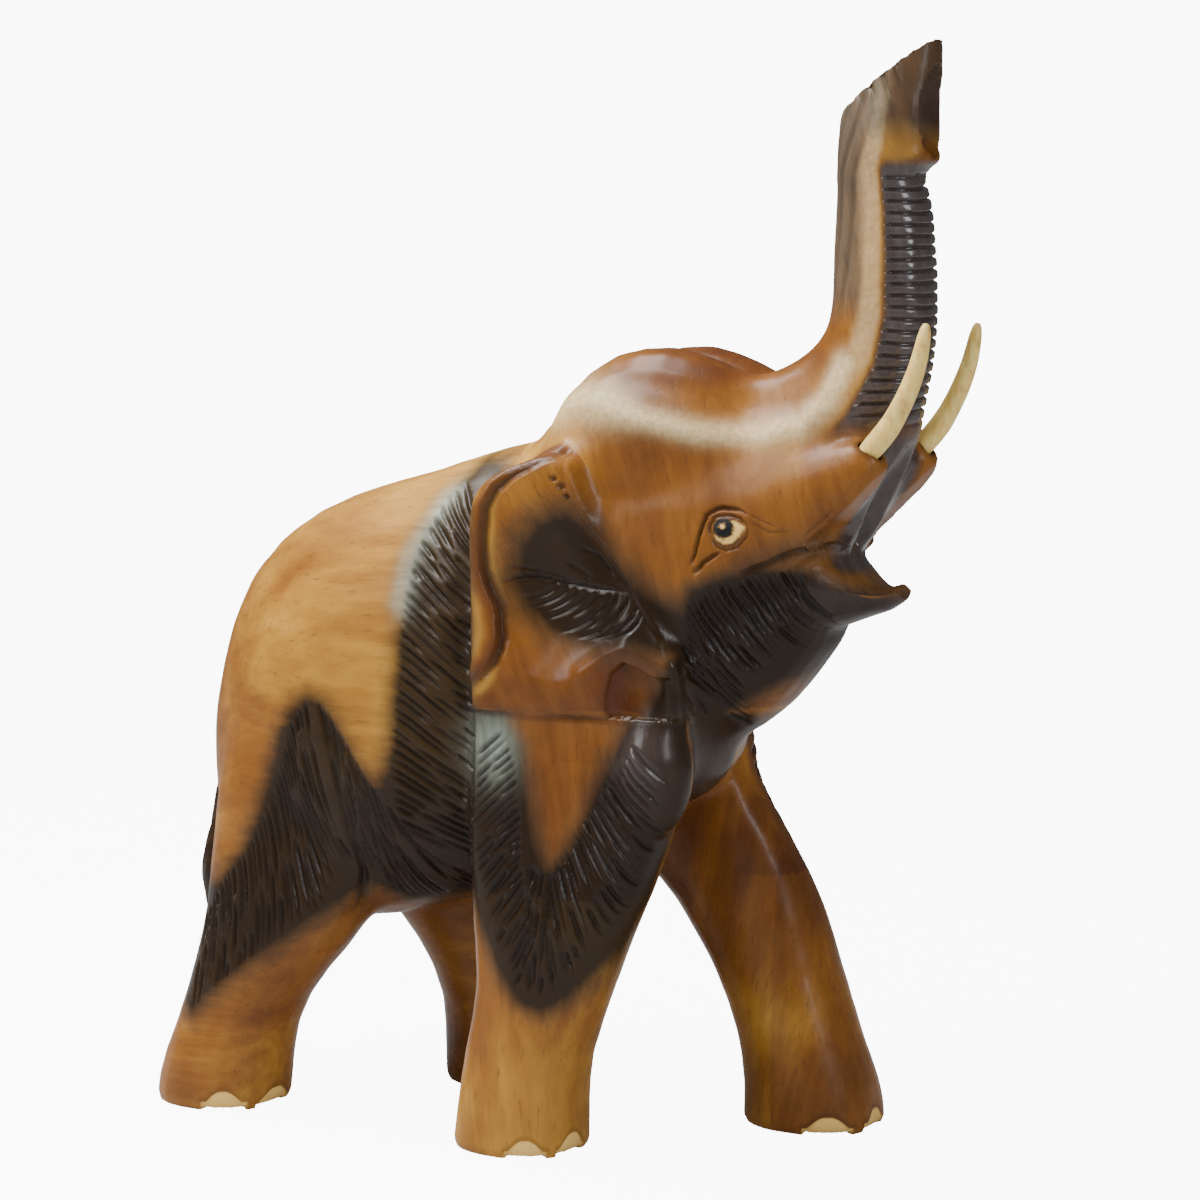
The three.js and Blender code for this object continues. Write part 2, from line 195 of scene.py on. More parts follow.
class Relief:
    """A sheet of gouge cuts seen square on, as a grid of depths in millimetres."""

    def __init__(self, low: tuple[float, float], high: tuple[float, float], step: float) -> None:
        """Sets out an uncut sheet.

        Args:
            low: Its lower rear corner.
            high: Its upper front corner.
            step: The grid's spacing.
        """
        self.low = np.array(low, float)
        self.step = step
        self.depth = np.zeros([int((h - l) / step) + 2 for l, h in zip(low, high)], np.float32)

    def cut(self, line: Array, width: float, depth: float, tail: float = 0.45) -> None:
        """Cuts one tapered gouge stroke.

        Args:
            line: The stroke's points in order.
            width: Its full width at the widest.
            depth: Its depth at the deepest.
            tail: The share of its length over which it runs out at the end.
        """
        pad = width
        first = np.maximum(((line.min(0) - pad - self.low) / self.step).astype(int), 0)
        last = np.minimum(((line.max(0) + pad - self.low) / self.step).astype(int) + 1,
                          self.depth.shape)
        if (first >= last).any():
            return
        x = self.low[0] + self.step * np.arange(first[0], last[0])[:, None]
        z = self.low[1] + self.step * np.arange(first[1], last[1])[None, :]
        nearest = np.full((x.shape[0], z.shape[1]), 1e9)
        place = np.zeros_like(nearest)
        count = len(line) - 1
        for k in range(count):
            ax, az = line[k]
            dx, dz = line[k + 1] - line[k]
            t = np.clip(((x - ax) * dx + (z - az) * dz) / (dx * dx + dz * dz + 1e-9), 0, 1)
            away = np.hypot(x - ax - t * dx, z - az - t * dz)
            closer = away < nearest
            nearest = np.where(closer, away, nearest)
            place = np.where(closer, (k + t) / count, place)
        taper = ease(-0.12, 0.2, place) * ease(1.04, 1.0 - tail, place)
        half = 0.5 * width * (0.35 + 0.65 * taper)
        bite = depth * taper * np.clip(1.0 - nearest / half, 0.0, 1.0) ** 0.85
        window = self.depth[first[0]:last[0], first[1]:last[1]]
        np.maximum(window, bite, out=window)

    def at(self, x: Array, z: Array) -> Array:
        """The depth of the cuts at points, read between the grid's corners.

        Args:
            x: The points' first coordinates.
            z: Their second coordinates.

        Returns:
            The depths.
        """
        gx = np.clip((x - self.low[0]) / self.step, 0, self.depth.shape[0] - 1.001)
        gz = np.clip((z - self.low[1]) / self.step, 0, self.depth.shape[1] - 1.001)
        i, j = gx.astype(int), gz.astype(int)
        fx, fz = gx - i, gz - j
        d = self.depth
        return ((d[i, j] * (1 - fx) + d[i + 1, j] * fx) * (1 - fz)
                + (d[i, j + 1] * (1 - fx) + d[i + 1, j + 1] * fx) * fz)


@dataclass(frozen=True)
class Hatch:
    """Rows of short gouge strokes that run from one guide line to another."""

    start: Spots
    end: Spots
    rows: int
    middle: Spots | None = None
    length: float = 27.0
    width: float = 2.4
    depth: float = 1.5
    overrun: float = 2.0

    def lay(self, sheet: Relief, chance: random.Random) -> None:
        """Cuts the rows into a sheet.

        Args:
            sheet: The sheet to cut.
            chance: The seeded source of unevenness.
        """
        for row in range(self.rows):
            t = (row + 0.5 + chance.uniform(-0.2, 0.2)) / self.rows
            a, b = along(self.start, t), along(self.end, t)
            m = along(self.middle, t) if self.middle else (a + b) / 2
            bend = 2 * m - (a + b) / 2
            total = float(np.hypot(*(m - a)) + np.hypot(*(b - m)))
            spot = -chance.uniform(0.0, 0.6) * self.length
            while spot < total - 0.2 * self.length:
                run = self.length * chance.uniform(0.7, 1.3)
                reached = min(spot + run, total + self.overrun)
                share = np.linspace(max(spot, 0.0), reached, 6)[:, None] / total
                line = a * (1 - share) ** 2 + 2 * bend * share * (1 - share) + b * share ** 2
                line = line + chance.uniform(-0.35, 0.35)
                sheet.cut(line, self.width * chance.uniform(0.8, 1.15),
                          self.depth * chance.uniform(0.7, 1.1))
                spot += run + chance.uniform(-0.15, 0.12) * self.length


@dataclass(frozen=True)
class Groove:
    """One long groove along a line."""

    line: Spots
    width: float
    depth: float
    tail: float = 0.25

    def lay(self, sheet: Relief, chance: random.Random) -> None:
        """Cuts the groove into a sheet, a little uneven.

        Args:
            sheet: The sheet to cut.
            chance: The seeded source of unevenness.
        """
        spots = np.array([along(self.line, t) for t in np.linspace(0, 1, 4 * len(self.line))])
        spots += np.array([[chance.uniform(-0.15, 0.15) for _ in (0, 1)] for _ in spots])
        sheet.cut(spots, self.width, self.depth, self.tail)


# The blank: the whole carving as one surface.

EAR_FRONT: Spots = ((34, 262), (37, 251), (40, 240), (47, 231), (53, 222), (61, 211), (71, 197),
                    (76, 183), (79, 170))
TRUNK_ROOT: Spots = ((94, 288.5), (107, 292), (118, 295.5), (127, 299))
BROW: Spots = ((22, 281), (32, 283), (45, 281), (60, 277), (81, 272), (102, 271), (117, 275),
               (126, 284), (131, 297))


@dataclass(frozen=True)
class Fillet:
    """A round patch, seen from the side, where one surface runs into another."""

    forward: float
    up: float
    reach: float
    long: float = 1.0
    tall: float = 1.0

    def share(self, x: Array, z: Array) -> Array:
        """How far each point belongs to the patch, from 0 to 1."""
        away = np.hypot((x - self.forward) / self.long, (z - self.up) / self.tall)
        return bell(away, self.reach)


THIGH = Fillet(-92, 150, 42, long=1.6)
GROIN = Fillet(-92, 95, 24, long=1.5)
THROAT = Fillet(70, 176, 20)
BROW_ROOT = Fillet(112, 262, 24)
NAPE = Fillet(5, 255, 16)
TAIL_ROOT = Fillet(-145, 130, 16, tall=3.0)
BRIDGE = Fillet(101, 293, 20)


@dataclass
class Surface:
    """The carving's points, in millimetres, with what has been done to them so far."""

    spots: Array
    normals: Array
    sink: Array
    marks: dict[str, Array]

    @property
    def x(self) -> Array:
        """How far forward each point is."""
        return self.spots[:, 0]

    @property
    def y(self) -> Array:
        """How far to the left each point is."""
        return self.spots[:, 1]

    @property
    def z(self) -> Array:
        """How high each point is."""
        return self.spots[:, 2]

    def outward(self, side: Side) -> Array:
        """How squarely each point faces out to one side, from -1 to 1."""
        return np.where(self.y * side.value > -3.0, self.normals[:, 1] * side.value, -1.0)

    def mark(self, name: str, amount: Array) -> None:
        """Adds an amount to a named mask, keeping the larger of old and new."""
        self.marks[name] = np.maximum(self.marks.get(name, np.zeros(len(self.spots))), amount)

    def lower(self, depth: Array) -> None:
        """Cuts the surface down by a depth, in millimetres."""
        self.sink = self.sink + depth


@dataclass
class Blank:
    """The six blocks glued up, rounded over and given enough points to carve."""

    voxel: float = 1.45
    swell: float = 1.1
    rounds: int = 70
    melting: int = 64
    pull: float = 0.5
    push: float = -0.47
    most_triangles: int = 192000
    flange: float = 1.6
    bead: float = 4.5
    brow_rise: float = 1.3
    brow_hollow: float = 1.6
    mouth_drop: float = 4.2
    chin_rise: float = 2.2
    broad_lumps: float = 0.32
    small_lumps: float = 0.14
    mesh: bpy.types.Mesh | None = None

    def rough_out(self) -> None:
        """Joins copies of the CAD blocks into one closed surface."""
        whole = bmesh.new()
        for block in Block:
            part = bmesh.new()
            part.from_mesh(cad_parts[block.value].data)
            bmesh.ops.remove_doubles(part, verts=part.verts, dist=1e-6)
            part.normal_update()
            for v in part.verts:
                v.co += v.normal * self.swell * MM
            copy = bpy.data.meshes.new("block")
            part.to_mesh(copy)
            part.free()
            whole.from_mesh(copy)
            bpy.data.meshes.remove(copy)
        self.fill_gaps(whole)
        joined = bpy.data.meshes.new("joined")
        whole.to_mesh(joined)
        whole.free()
        body = bpy.data.objects.new("blank", joined)
        bpy.context.scene.collection.objects.link(body)
        remesh = body.modifiers.new("remesh", "REMESH")
        remesh.mode = "VOXEL"
        remesh.voxel_size = self.voxel * MM
        ready = body.evaluated_get(bpy.context.evaluated_depsgraph_get())
        self.mesh = bpy.data.meshes.new_from_object(ready)
        bpy.data.objects.remove(body)
        # The swelling closed the glue gaps, so the surface now comes back to size.
        surface = self.surface()
        self.write(surface.spots - surface.normals * self.swell)

    def fill_gaps(self, whole: bmesh.types.BMesh) -> None:
        """Packs beads of filler in front of each ear slab and into the creases at the trunk's root.

        Args:
            whole: The joined blocks, which get the beads.
        """
        tree = BVHTree.FromBMesh(whole)
        ears = [along(EAR_FRONT, float(share)) for share in np.linspace(0.02, 0.97, 44)]
        roots = [along(TRUNK_ROOT, float(share)) for share in np.linspace(0.0, 1.0, 16)]
        for side in Side:
            for x, z in ears + roots:
                heights = []
                for ahead in (-3.5, 3.5):
                    start = Vector(((x + ahead) * MM, side.value * 0.2, z * MM))
                    hit = tree.ray_cast(start, Vector((0.0, -side.value, 0.0)))[0]
                    heights.append(abs(hit.y) if hit else 0.0)
                place = Vector((x * MM, side.value * (min(heights) - self.bead * MM), z * MM))
                bmesh.ops.create_icosphere(whole, subdivisions=2, radius=self.bead * MM,
                                           matrix=Matrix.Translation(place))

    def read(self) -> tuple[Array, Array]:
        """Reads the mesh.

        Returns:
            Its points in millimetres and its edges.
        """
        spots = np.zeros(len(self.mesh.vertices) * 3)
        self.mesh.vertices.foreach_get("co", spots)
        edges = np.zeros(len(self.mesh.edges) * 2, int)
        self.mesh.edges.foreach_get("vertices", edges)
        return spots.reshape(-1, 3) / MM, edges.reshape(-1, 2)

    def write(self, spots: Array) -> None:
        """Puts points, in millimetres, back into the mesh."""
        self.mesh.vertices.foreach_set("co", (spots * MM).astype(np.float32).ravel())
        self.mesh.update()

    def soften(self, rounds: int, amount: Array) -> None:
        """Rounds the surface over by moving each point towards its neighbours' middle.

        Args:
            rounds: How many times.
            amount: Each point's share, 0 to 1.
        """
        self.even_out([self.pull if step % 2 == 0 else self.push for step in range(rounds)], amount)

    def melt(self, rounds: int, amount: Array) -> None:
        """Softens without giving the volume back, to fill inside corners.

        Args:
            rounds: How many times.
            amount: Each point's share, 0 to 1.
        """
        self.even_out([self.pull] * rounds, amount)

    def even_out(self, pulls: Sequence[float], amount: Array) -> None:
        """Moves each point towards, or away from, the middle of its neighbours.

        Args:
            pulls: How far each round moves a point, as a share of the way.
            amount: Each point's share, 0 to 1.
        """
        spots, edges = self.read()
        count = len(spots)
        ends = np.concatenate([edges[:, 0], edges[:, 1]])
        others = np.concatenate([edges[:, 1], edges[:, 0]])
        shared = np.maximum(np.bincount(ends, minlength=count), 1)
        for pull in pulls:
            middle = np.stack([np.bincount(ends, weights=spots[others, i], minlength=count)
                               for i in range(3)], axis=1) / shared[:, None]
            spots = spots + (middle - spots) * (amount * pull)[:, None]
        self.write(spots)

    def blend_joints(self) -> None:
        """Rounds the facets away and runs the legs, ears and trunk into their neighbours."""
        spots, _ = self.read()
        x, y, z = spots.T
        wide = np.abs(y)
        keep = np.zeros(len(spots))
        keep = np.maximum(keep, ease(7, 2, z))
        ear = (z > 164) & (z < 268) & (x > -9) & (x < 84) & (wide > 30)
        keep = np.where(ear, np.maximum(keep, 0.5), keep)
        rear = (z > 160) & (z < 262) & (x > -10) & (x < 3) & (wide > 42)
        keep = np.where(rear, np.maximum(keep, 0.88), keep)
        tip = (z > 362) | ((x > 118) & (z < 285) & (z > 200))
        keep = np.where(tip, np.maximum(keep, 0.8), keep)
        socket = np.hypot(x - 139, z - 262) < 13
        keep = np.where(socket & (wide > 14), 0.97, keep)
        self.soften(self.rounds, 1.0 - keep)
        # Where a limb leaves the body the carver ran one surface into the other.
        spots, _ = self.read()
        x, y, z = spots.T
        wide = np.abs(y)
        thigh = THIGH.share(x, z) * ease(20, 40, wide)
        groin = GROIN.share(x, z) * ease(60, 40, wide)
        throat = THROAT.share(x, z)
        brow = BROW_ROOT.share(x, z) * (z > 240)
        nape = NAPE.share(x, z)
        tail = TAIL_ROOT.share(x, z)
        cheek_edge = bell(line_distance(EAR_FRONT, x, z), 9) * ease(20, 30, wide)
        shelf = bell(z - 262 - 0.02 * (x - 60), 11) * ease(4, 20, x) * ease(122, 108, x)
        shelf = shelf * ease(22, 32, wide)
        bridge = BRIDGE.share(x, z)
        amount = bridge + thigh + groin + throat + brow + nape + 0.8 * tail + cheek_edge + shelf
        amount = np.clip(amount, 0, 1)
        amount *= 1.0 - 0.8 * (socket & (wide > 14))
        self.melt(self.melting, amount)
        self.sculpt()

    def sculpt(self) -> None:
        """Pushes the large forms about: brow ridge, the hollow over it and the dip of the lip."""
        surface = self.surface()
        x, z = surface.x, surface.z
        out = ease(0.0, 0.4, surface.normals[:, 1] * np.sign(surface.y)) * ease(
            12, 24, np.abs(surface.y))
        ridge = line_distance(BROW, x, z)
        above = z > np.interp(x, [p[0] for p in BROW], [p[1] for p in BROW])
        ends = ease(14, 30, x) * ease(132, 118, x)
        rise = self.brow_rise * bell(ridge, 5.0) - self.brow_hollow * bell(ridge - 12, 7.0) * above
        spots = surface.spots + surface.normals * (rise * out * ends)[:, None]
        mouth = ease(206, 214, z) * (z < 232) * bell(x - 138, 8)
        up = surface.normals[:, 2]
        spots[:, 2] -= self.mouth_drop * mouth * ease(-0.2, 0.5, up)
        chin = ease(118, 138, x) * ease(232, 216, z) * ease(186, 198, z)
        raised = (self.chin_rise * ease(0.7, -0.7, up) * ease(152, 143, x)
                  + self.chin_rise * ease(142, 156, x))
        spots[:, 2] += raised * chin
        lumps = (self.broad_lumps * ripple(surface.spots, 21, 1.0)
                 + self.small_lumps * ripple(surface.spots, 7, 6.0))
        spots -= surface.normals * (lumps * ease(2, 10, z))[:, None]
        self.write(spots)
        self.soften(14, 0.9 * ease(112, 124, x) * ease(194, 200, z) * ease(238, 230, z))

    def refine(self, wanted: Callable[[Array, Array, Array, Array], Array]) -> None:
        """Splits the faces of a region in four.

        Args:
            wanted: A test on arrays of x, y, z in millimetres and of how squarely each face looks
                away from the middle, which is true in the region.
        """
        centres = np.zeros(len(self.mesh.polygons) * 3)
        self.mesh.polygons.foreach_get("center", centres)
        centres = centres.reshape(-1, 3) / MM
        normals = np.zeros(len(self.mesh.polygons) * 3)
        self.mesh.polygons.foreach_get("normal", normals)
        outward = normals.reshape(-1, 3)[:, 1] * np.sign(centres[:, 1])
        chosen = wanted(*centres.T, outward)
        work = bmesh.new()
        work.from_mesh(self.mesh)
        edges = {e for f, take in zip(work.faces, chosen.tolist()) if take for e in f.edges}
        bmesh.ops.subdivide_edges(work, edges=list(edges), cuts=1, use_grid_fill=True)
        work.to_mesh(self.mesh)
        work.free()

    def normals(self) -> Array:
        """The direction that each point faces.

        Returns:
            The directions, one row for each point.
        """
        found = np.zeros(len(self.mesh.vertices) * 3)
        self.mesh.vertex_normals.foreach_get("vector", found)
        return found.reshape(-1, 3)

    def surface(self) -> Surface:
        """The points and normals as they now are."""
        spots, _ = self.read()
        return Surface(spots, self.normals(), np.zeros(len(spots)), {})

    def finish(self, surface: Surface) -> None:
        """Sinks the cuts into the mesh and stores the marks on it.

        Args:
            surface: The carved and stained surface.
        """
        self.write(surface.spots - surface.normals * surface.sink[:, None])
        for name, amount in surface.marks.items():
            layer = self.mesh.attributes.new(name, "FLOAT", "POINT")
            layer.data.foreach_set("value", amount.astype(np.float32))
        layer = self.mesh.attributes.new("facing", "FLOAT_VECTOR", "POINT")
        layer.data.foreach_set("vector", self.normals().astype(np.float32).ravel())

    def part(self) -> dict[Block, bpy.types.Object]:
        """Saws the surface into its blocks along the CAD model's joints and closes each one.

        Returns:
            The object of each block.
        """
        corners, faces, owner = [], [], []
        for block in Block:
            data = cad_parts[block.value].data
            base = len(corners)
            corners += [v.co.copy() for v in data.vertices]
            faces += [[base + i for i in p.vertices] for p in data.polygons]
            owner += [block] * len(data.polygons)
        tree = BVHTree.FromPolygons(corners, faces)
        order = list(Block)
        found = [order.index(owner[tree.find_nearest(p.center)[2]]) for p in self.mesh.polygons]
        self.mesh.materials.clear()
        for block in order:
            self.mesh.materials.append(bpy.data.materials.new("share_" + block.value))
        self.mesh.polygons.foreach_set("material_index", found)
        whole = bpy.data.objects.new("carved", self.mesh)
        bpy.context.scene.collection.objects.link(whole)
        bpy.context.view_layer.objects.active = whole
        bpy.ops.object.select_all(action="DESELECT")
        whole.select_set(True)
        bpy.ops.mesh.separate(type="MATERIAL")
        made = {}
        for piece in list(bpy.context.selected_objects):
            first = piece.data.polygons[0].material_index
            block = Block(piece.data.materials[first].name.removeprefix("share_"))
            piece.select_set(False)
            piece.name = block.value + "_carved"
            piece.data.name = block.value + "_wood"
            self.close(piece)
            made[block] = piece
        return {block: made[block] for block in order}

    def close(self, piece: bpy.types.Object) -> None:
        """Closes a block's sawn faces, thins it if it has too many triangles and smooths it.

        Args:
            piece: The block's object.
        """
        self.thin(piece)
        work = bmesh.new()
        work.from_mesh(piece.data)
        facing = work.verts.layers.float_vector["facing"]
        rims = [e for e in work.edges if e.is_boundary]
        made = bmesh.ops.extrude_edge_only(work, edges=rims)["geom"]
        for v in made:
            if isinstance(v, bmesh.types.BMVert):
                v.co -= v[facing].normalized() * self.flange * MM
        inner = [e for e in made if isinstance(e, bmesh.types.BMEdge) and e.is_boundary]
        bmesh.ops.holes_fill(work, edges=inner, sides=0)
        work.to_mesh(piece.data)
        work.free()
        piece.data.shade_smooth()
        way = np.zeros(len(piece.data.vertices) * 3, np.float32)
        piece.data.attributes["facing"].data.foreach_get("vector", way)
        piece.data.normals_split_custom_set_from_vertices(way.reshape(-1, 3).tolist())

    def thin(self, piece: bpy.types.Object) -> None:
        """Merges the flattest triangles of a block until it has few enough.

        Args:
            piece: The block's object.
        """
        count = sum(len(p.vertices) - 2 for p in piece.data.polygons)
        if count <= self.most_triangles:
            return
        thinning = piece.modifiers.new("thinning", "DECIMATE")
        thinning.ratio = self.most_triangles / count
        ready = piece.evaluated_get(bpy.context.evaluated_depsgraph_get())
        thinned = bpy.data.meshes.new_from_object(ready)
        piece.modifiers.remove(thinning)
        piece.data = thinned


# What is carved and stained where. Guide lines are (forward, up) in millimetres.


@dataclass
class LegPlace:
    """Where the left leg of a pair stands, next to the right one whose pattern it shares."""

    heights: tuple[float, ...]
    ahead: tuple[float, ...]

    def shift(self, z: Array) -> Array:
        """How much further forward the left leg is at each height."""
        return np.interp(z, self.heights, self.ahead)


FORELEG_PLACE = LegPlace((0, 37, 61, 87, 113, 140, 160), (82, 72, 56, 38, 16.5, 0.5, 0))
HIND_LEG_PLACE = LegPlace((0, 16, 37, 58, 80, 105, 132), (83, 80, 70, 51, 27, 9, 0))


def pattern_x(surface: Surface, side: Side) -> Array:
    """How far forward each point is in the right side's patterns.

    Args:
        surface: The surface.
        side: The side that is worked on.

    Returns:
        The positions.
    """
    x, z = surface.x, surface.z
    if side is Side.RIGHT:
        return x
    fore = FORELEG_PLACE.shift(z)
    hind = HIND_LEG_PLACE.shift(z)
    return x - np.where(x > -16 + 0.35 * np.clip(90 - z, 0, 90), fore, hind)


@dataclass
class TorsoBlock:
    """The torso with the hind legs and tail."""

    hatches: tuple[Hatch, ...] = (
        Hatch(start=[(-20, 252), (-27, 244), (-32, 228), (-33, 211), (-34, 192), (-35, 170),
                     (-37, 152), (-38, 135), (-37, 118)],
              end=[(-4, 232), (-4, 218), (-4, 199), (-4, 182), (-3, 163), (-3, 143),
                   (-2, 126), (0, 111), (6, 98)], rows=35, length=30),
        Hatch(start=[(-76, 168), (-84, 158), (-89, 143), (-96, 127), (-103, 115), (-111, 103),
                     (-121, 90), (-131, 76)],
              middle=[(-70, 138), (-76, 128), (-82, 116), (-88, 104), (-95, 93), (-105, 82),
                      (-117, 70), (-131, 60)],
              end=[(-62, 110), (-63, 100), (-70, 91), (-80, 82), (-90, 74), (-104, 62),
                   (-117, 51), (-131, 42)], rows=29, length=32),
        Hatch(start=[(-72, 168), (-66, 163), (-58, 153), (-52, 143), (-44, 133)],
              middle=[(-64, 140), (-58, 130), (-50, 120), (-44, 113), (-38, 108)],
              end=[(-60, 110), (-55, 98), (-49, 90), (-43, 88), (-32, 90)], rows=13, length=28),
        Hatch(start=[(-42, 130), (-38, 118)], middle=[(-33, 108), (-26, 105)],
              end=[(-28, 90), (-8, 95)], rows=5, length=18),
    )
    crease: Groove = Groove([(-61, 116), (-59, 109), (-59, 100), (-62, 90), (-66, 82)], 3.4, 1.7)
    dark: tuple[tuple[float, float], ...] = (
        (-76, 171), (-85, 166), (-93, 155), (-98, 140), (-104, 122), (-112, 106), (-126, 92),
        (-142, 86), (-156, 70), (-150, 44), (-130, 36), (-118, 47), (-106, 57), (-89, 69),
        (-73, 80), (-58, 92), (-50, 84), (-30, 86), (10, 92), (10, 240), (-8, 262), (-20, 262),
        (-31, 243), (-36, 226), (-37, 200), (-38, 170), (-40, 148), (-45, 139), (-52, 147),
        (-60, 160), (-67, 169))

    def carve(self, surface: Surface, side: Side, sheet: Relief, chance: random.Random) -> None:
        """Cuts the hair strokes of the shoulder band, thigh and belly into a side sheet.

        Args:
            surface: Not used; the sheet is laid against the surface later.
            side: The side of the animal; not used.
            sheet: The sheet to cut.
            chance: The seeded source of unevenness.
        """
        for hatch in self.hatches:
            hatch.lay(sheet, chance)
        self.crease.lay(sheet, chance)

    def stain(self, surface: Surface, side: Side) -> None:
        """Sprays the dark hair zones of one side.

        Args:
            surface: The surface to stain and shape.
            side: The side of the animal.
        """
        x = pattern_x(surface, side)
        facing = ease(-0.45, 0.15, surface.outward(side))
        behind = ease(4, -4, surface.x)
        surface.mark("stain", soft_patch(self.dark, x, surface.z, 8.5) * facing * behind)
        # A pale blue-grey edge at the back of the shoulder band: thin dark spray over pale wood
        # plus a painted sheen.
        edge = line_distance([(-28, 246), (-36, 226), (-37, 206)], x, surface.z)
        surface.mark("mist_and_sheen", 0.8 * bell(edge, 5.5) * facing * behind)

    def tail(self, surface: Surface) -> None:
        """Cuts the long hairs of the tail and darkens it.

        Args:
            surface: The surface to work.
        """
        x, y, z = surface.x, surface.y, surface.z
        zone = ease(-139, -148, x - 0.12 * np.maximum(0, 110 - z))
        zone = zone * ease(60, 70, z) * ease(196, 176, z)
        hair = np.sin(y * 1.9 + 0.05 * z + 2.2 * ripple(surface.spots, 26, 3.0, x < -130))
        rearward = ease(-0.2, -0.6, surface.normals[:, 0])
        surface.lower(0.45 * zone * np.clip(hair, -0.4, 1.0) * rearward)
        surface.mark("stain", 0.85 * zone * ease(24, 12, np.abs(y + 6)))


@dataclass
class ForelegBlock:
    """The near pattern of a foreleg block: hair strokes round a plain wedge."""

    hatches: tuple[Hatch, ...] = (
        Hatch(start=[(9, 162), (14, 154), (17, 144), (19, 134), (20, 122), (22, 110), (26, 98),
                     (29, 84)],
              end=[(-9, 147), (-6, 137), (-2, 127), (1, 116), (5, 104), (10, 92), (15, 79),
                   (21, 66)], rows=25, length=24),
        Hatch(start=[(64, 158), (58, 150), (52, 145), (48, 138), (44, 130), (39, 120), (34, 110),
                     (31, 98)],
              end=[(80, 142), (75, 132), (71, 121), (66, 110), (60, 99), (52, 88), (43, 77),
                   (33, 65)], rows=23, length=29),
        Hatch(start=[(24, 112), (29, 111), (34, 109)], end=[(23, 68), (27, 64), (31, 66)],
              rows=4, length=17),
    )
    dark: tuple[tuple[float, float], ...] = (
        (-20, 172), (12, 168), (19, 156), (23, 140), (27, 124), (32, 113), (36, 116), (42, 130),
        (48, 146), (55, 160), (60, 170), (96, 176), (92, 150), (82, 128), (74, 108), (66, 92),
        (54, 76), (42, 62), (30, 55), (20, 58), (8, 74), (-6, 100), (-20, 130))
    knuckle: tuple[float, float] = (66, 151)

    def carve(self, surface: Surface, side: Side, sheet: Relief, chance: random.Random) -> None:
        """Cuts the hair strokes of one foreleg into a side sheet.

        Args:
            surface: Not used; the sheet is laid against the surface later.
            side: The side of the animal; not used.
            sheet: The sheet to cut.
            chance: The seeded source of unevenness.
        """
        for hatch in self.hatches:
            hatch.lay(sheet, chance)

    def stain(self, surface: Surface, side: Side) -> None:
        """Sprays the dark hair zones of one foreleg.

        Args:
            surface: The surface to stain and shape.
            side: The side of the animal.
        """
        x = pattern_x(surface, side)
        reach = (-0.5, 0.1) if side is Side.RIGHT else (0.15, 0.7)
        facing = ease(*reach, surface.outward(side))
        front = ease(-22, -12, surface.x) * ease(171, 166, surface.z)
        surface.mark("stain", soft_patch(self.dark, x, surface.z, 7.5) * facing * front)
        bump = bell(np.hypot(x - self.knuckle[0], (surface.z - self.knuckle[1]) / 1.3), 11.0)
        surface.lower(-2.6 * bump * facing * (surface.x > 40))
        # Glossy plum-black on the knuckle, its lighter colour partly a painted sheen.
        surface.mark("violet_and_sheen", 0.6 * bump * facing * (surface.x > 40))
        # A pale blue-grey patch at the top of the leg: thin spray plus a painted sheen.
        edge = np.hypot(x - 6, (surface.z - 156) / 1.2)
        surface.mark("mist_and_sheen", 0.75 * bell(edge, 11) * facing * front)


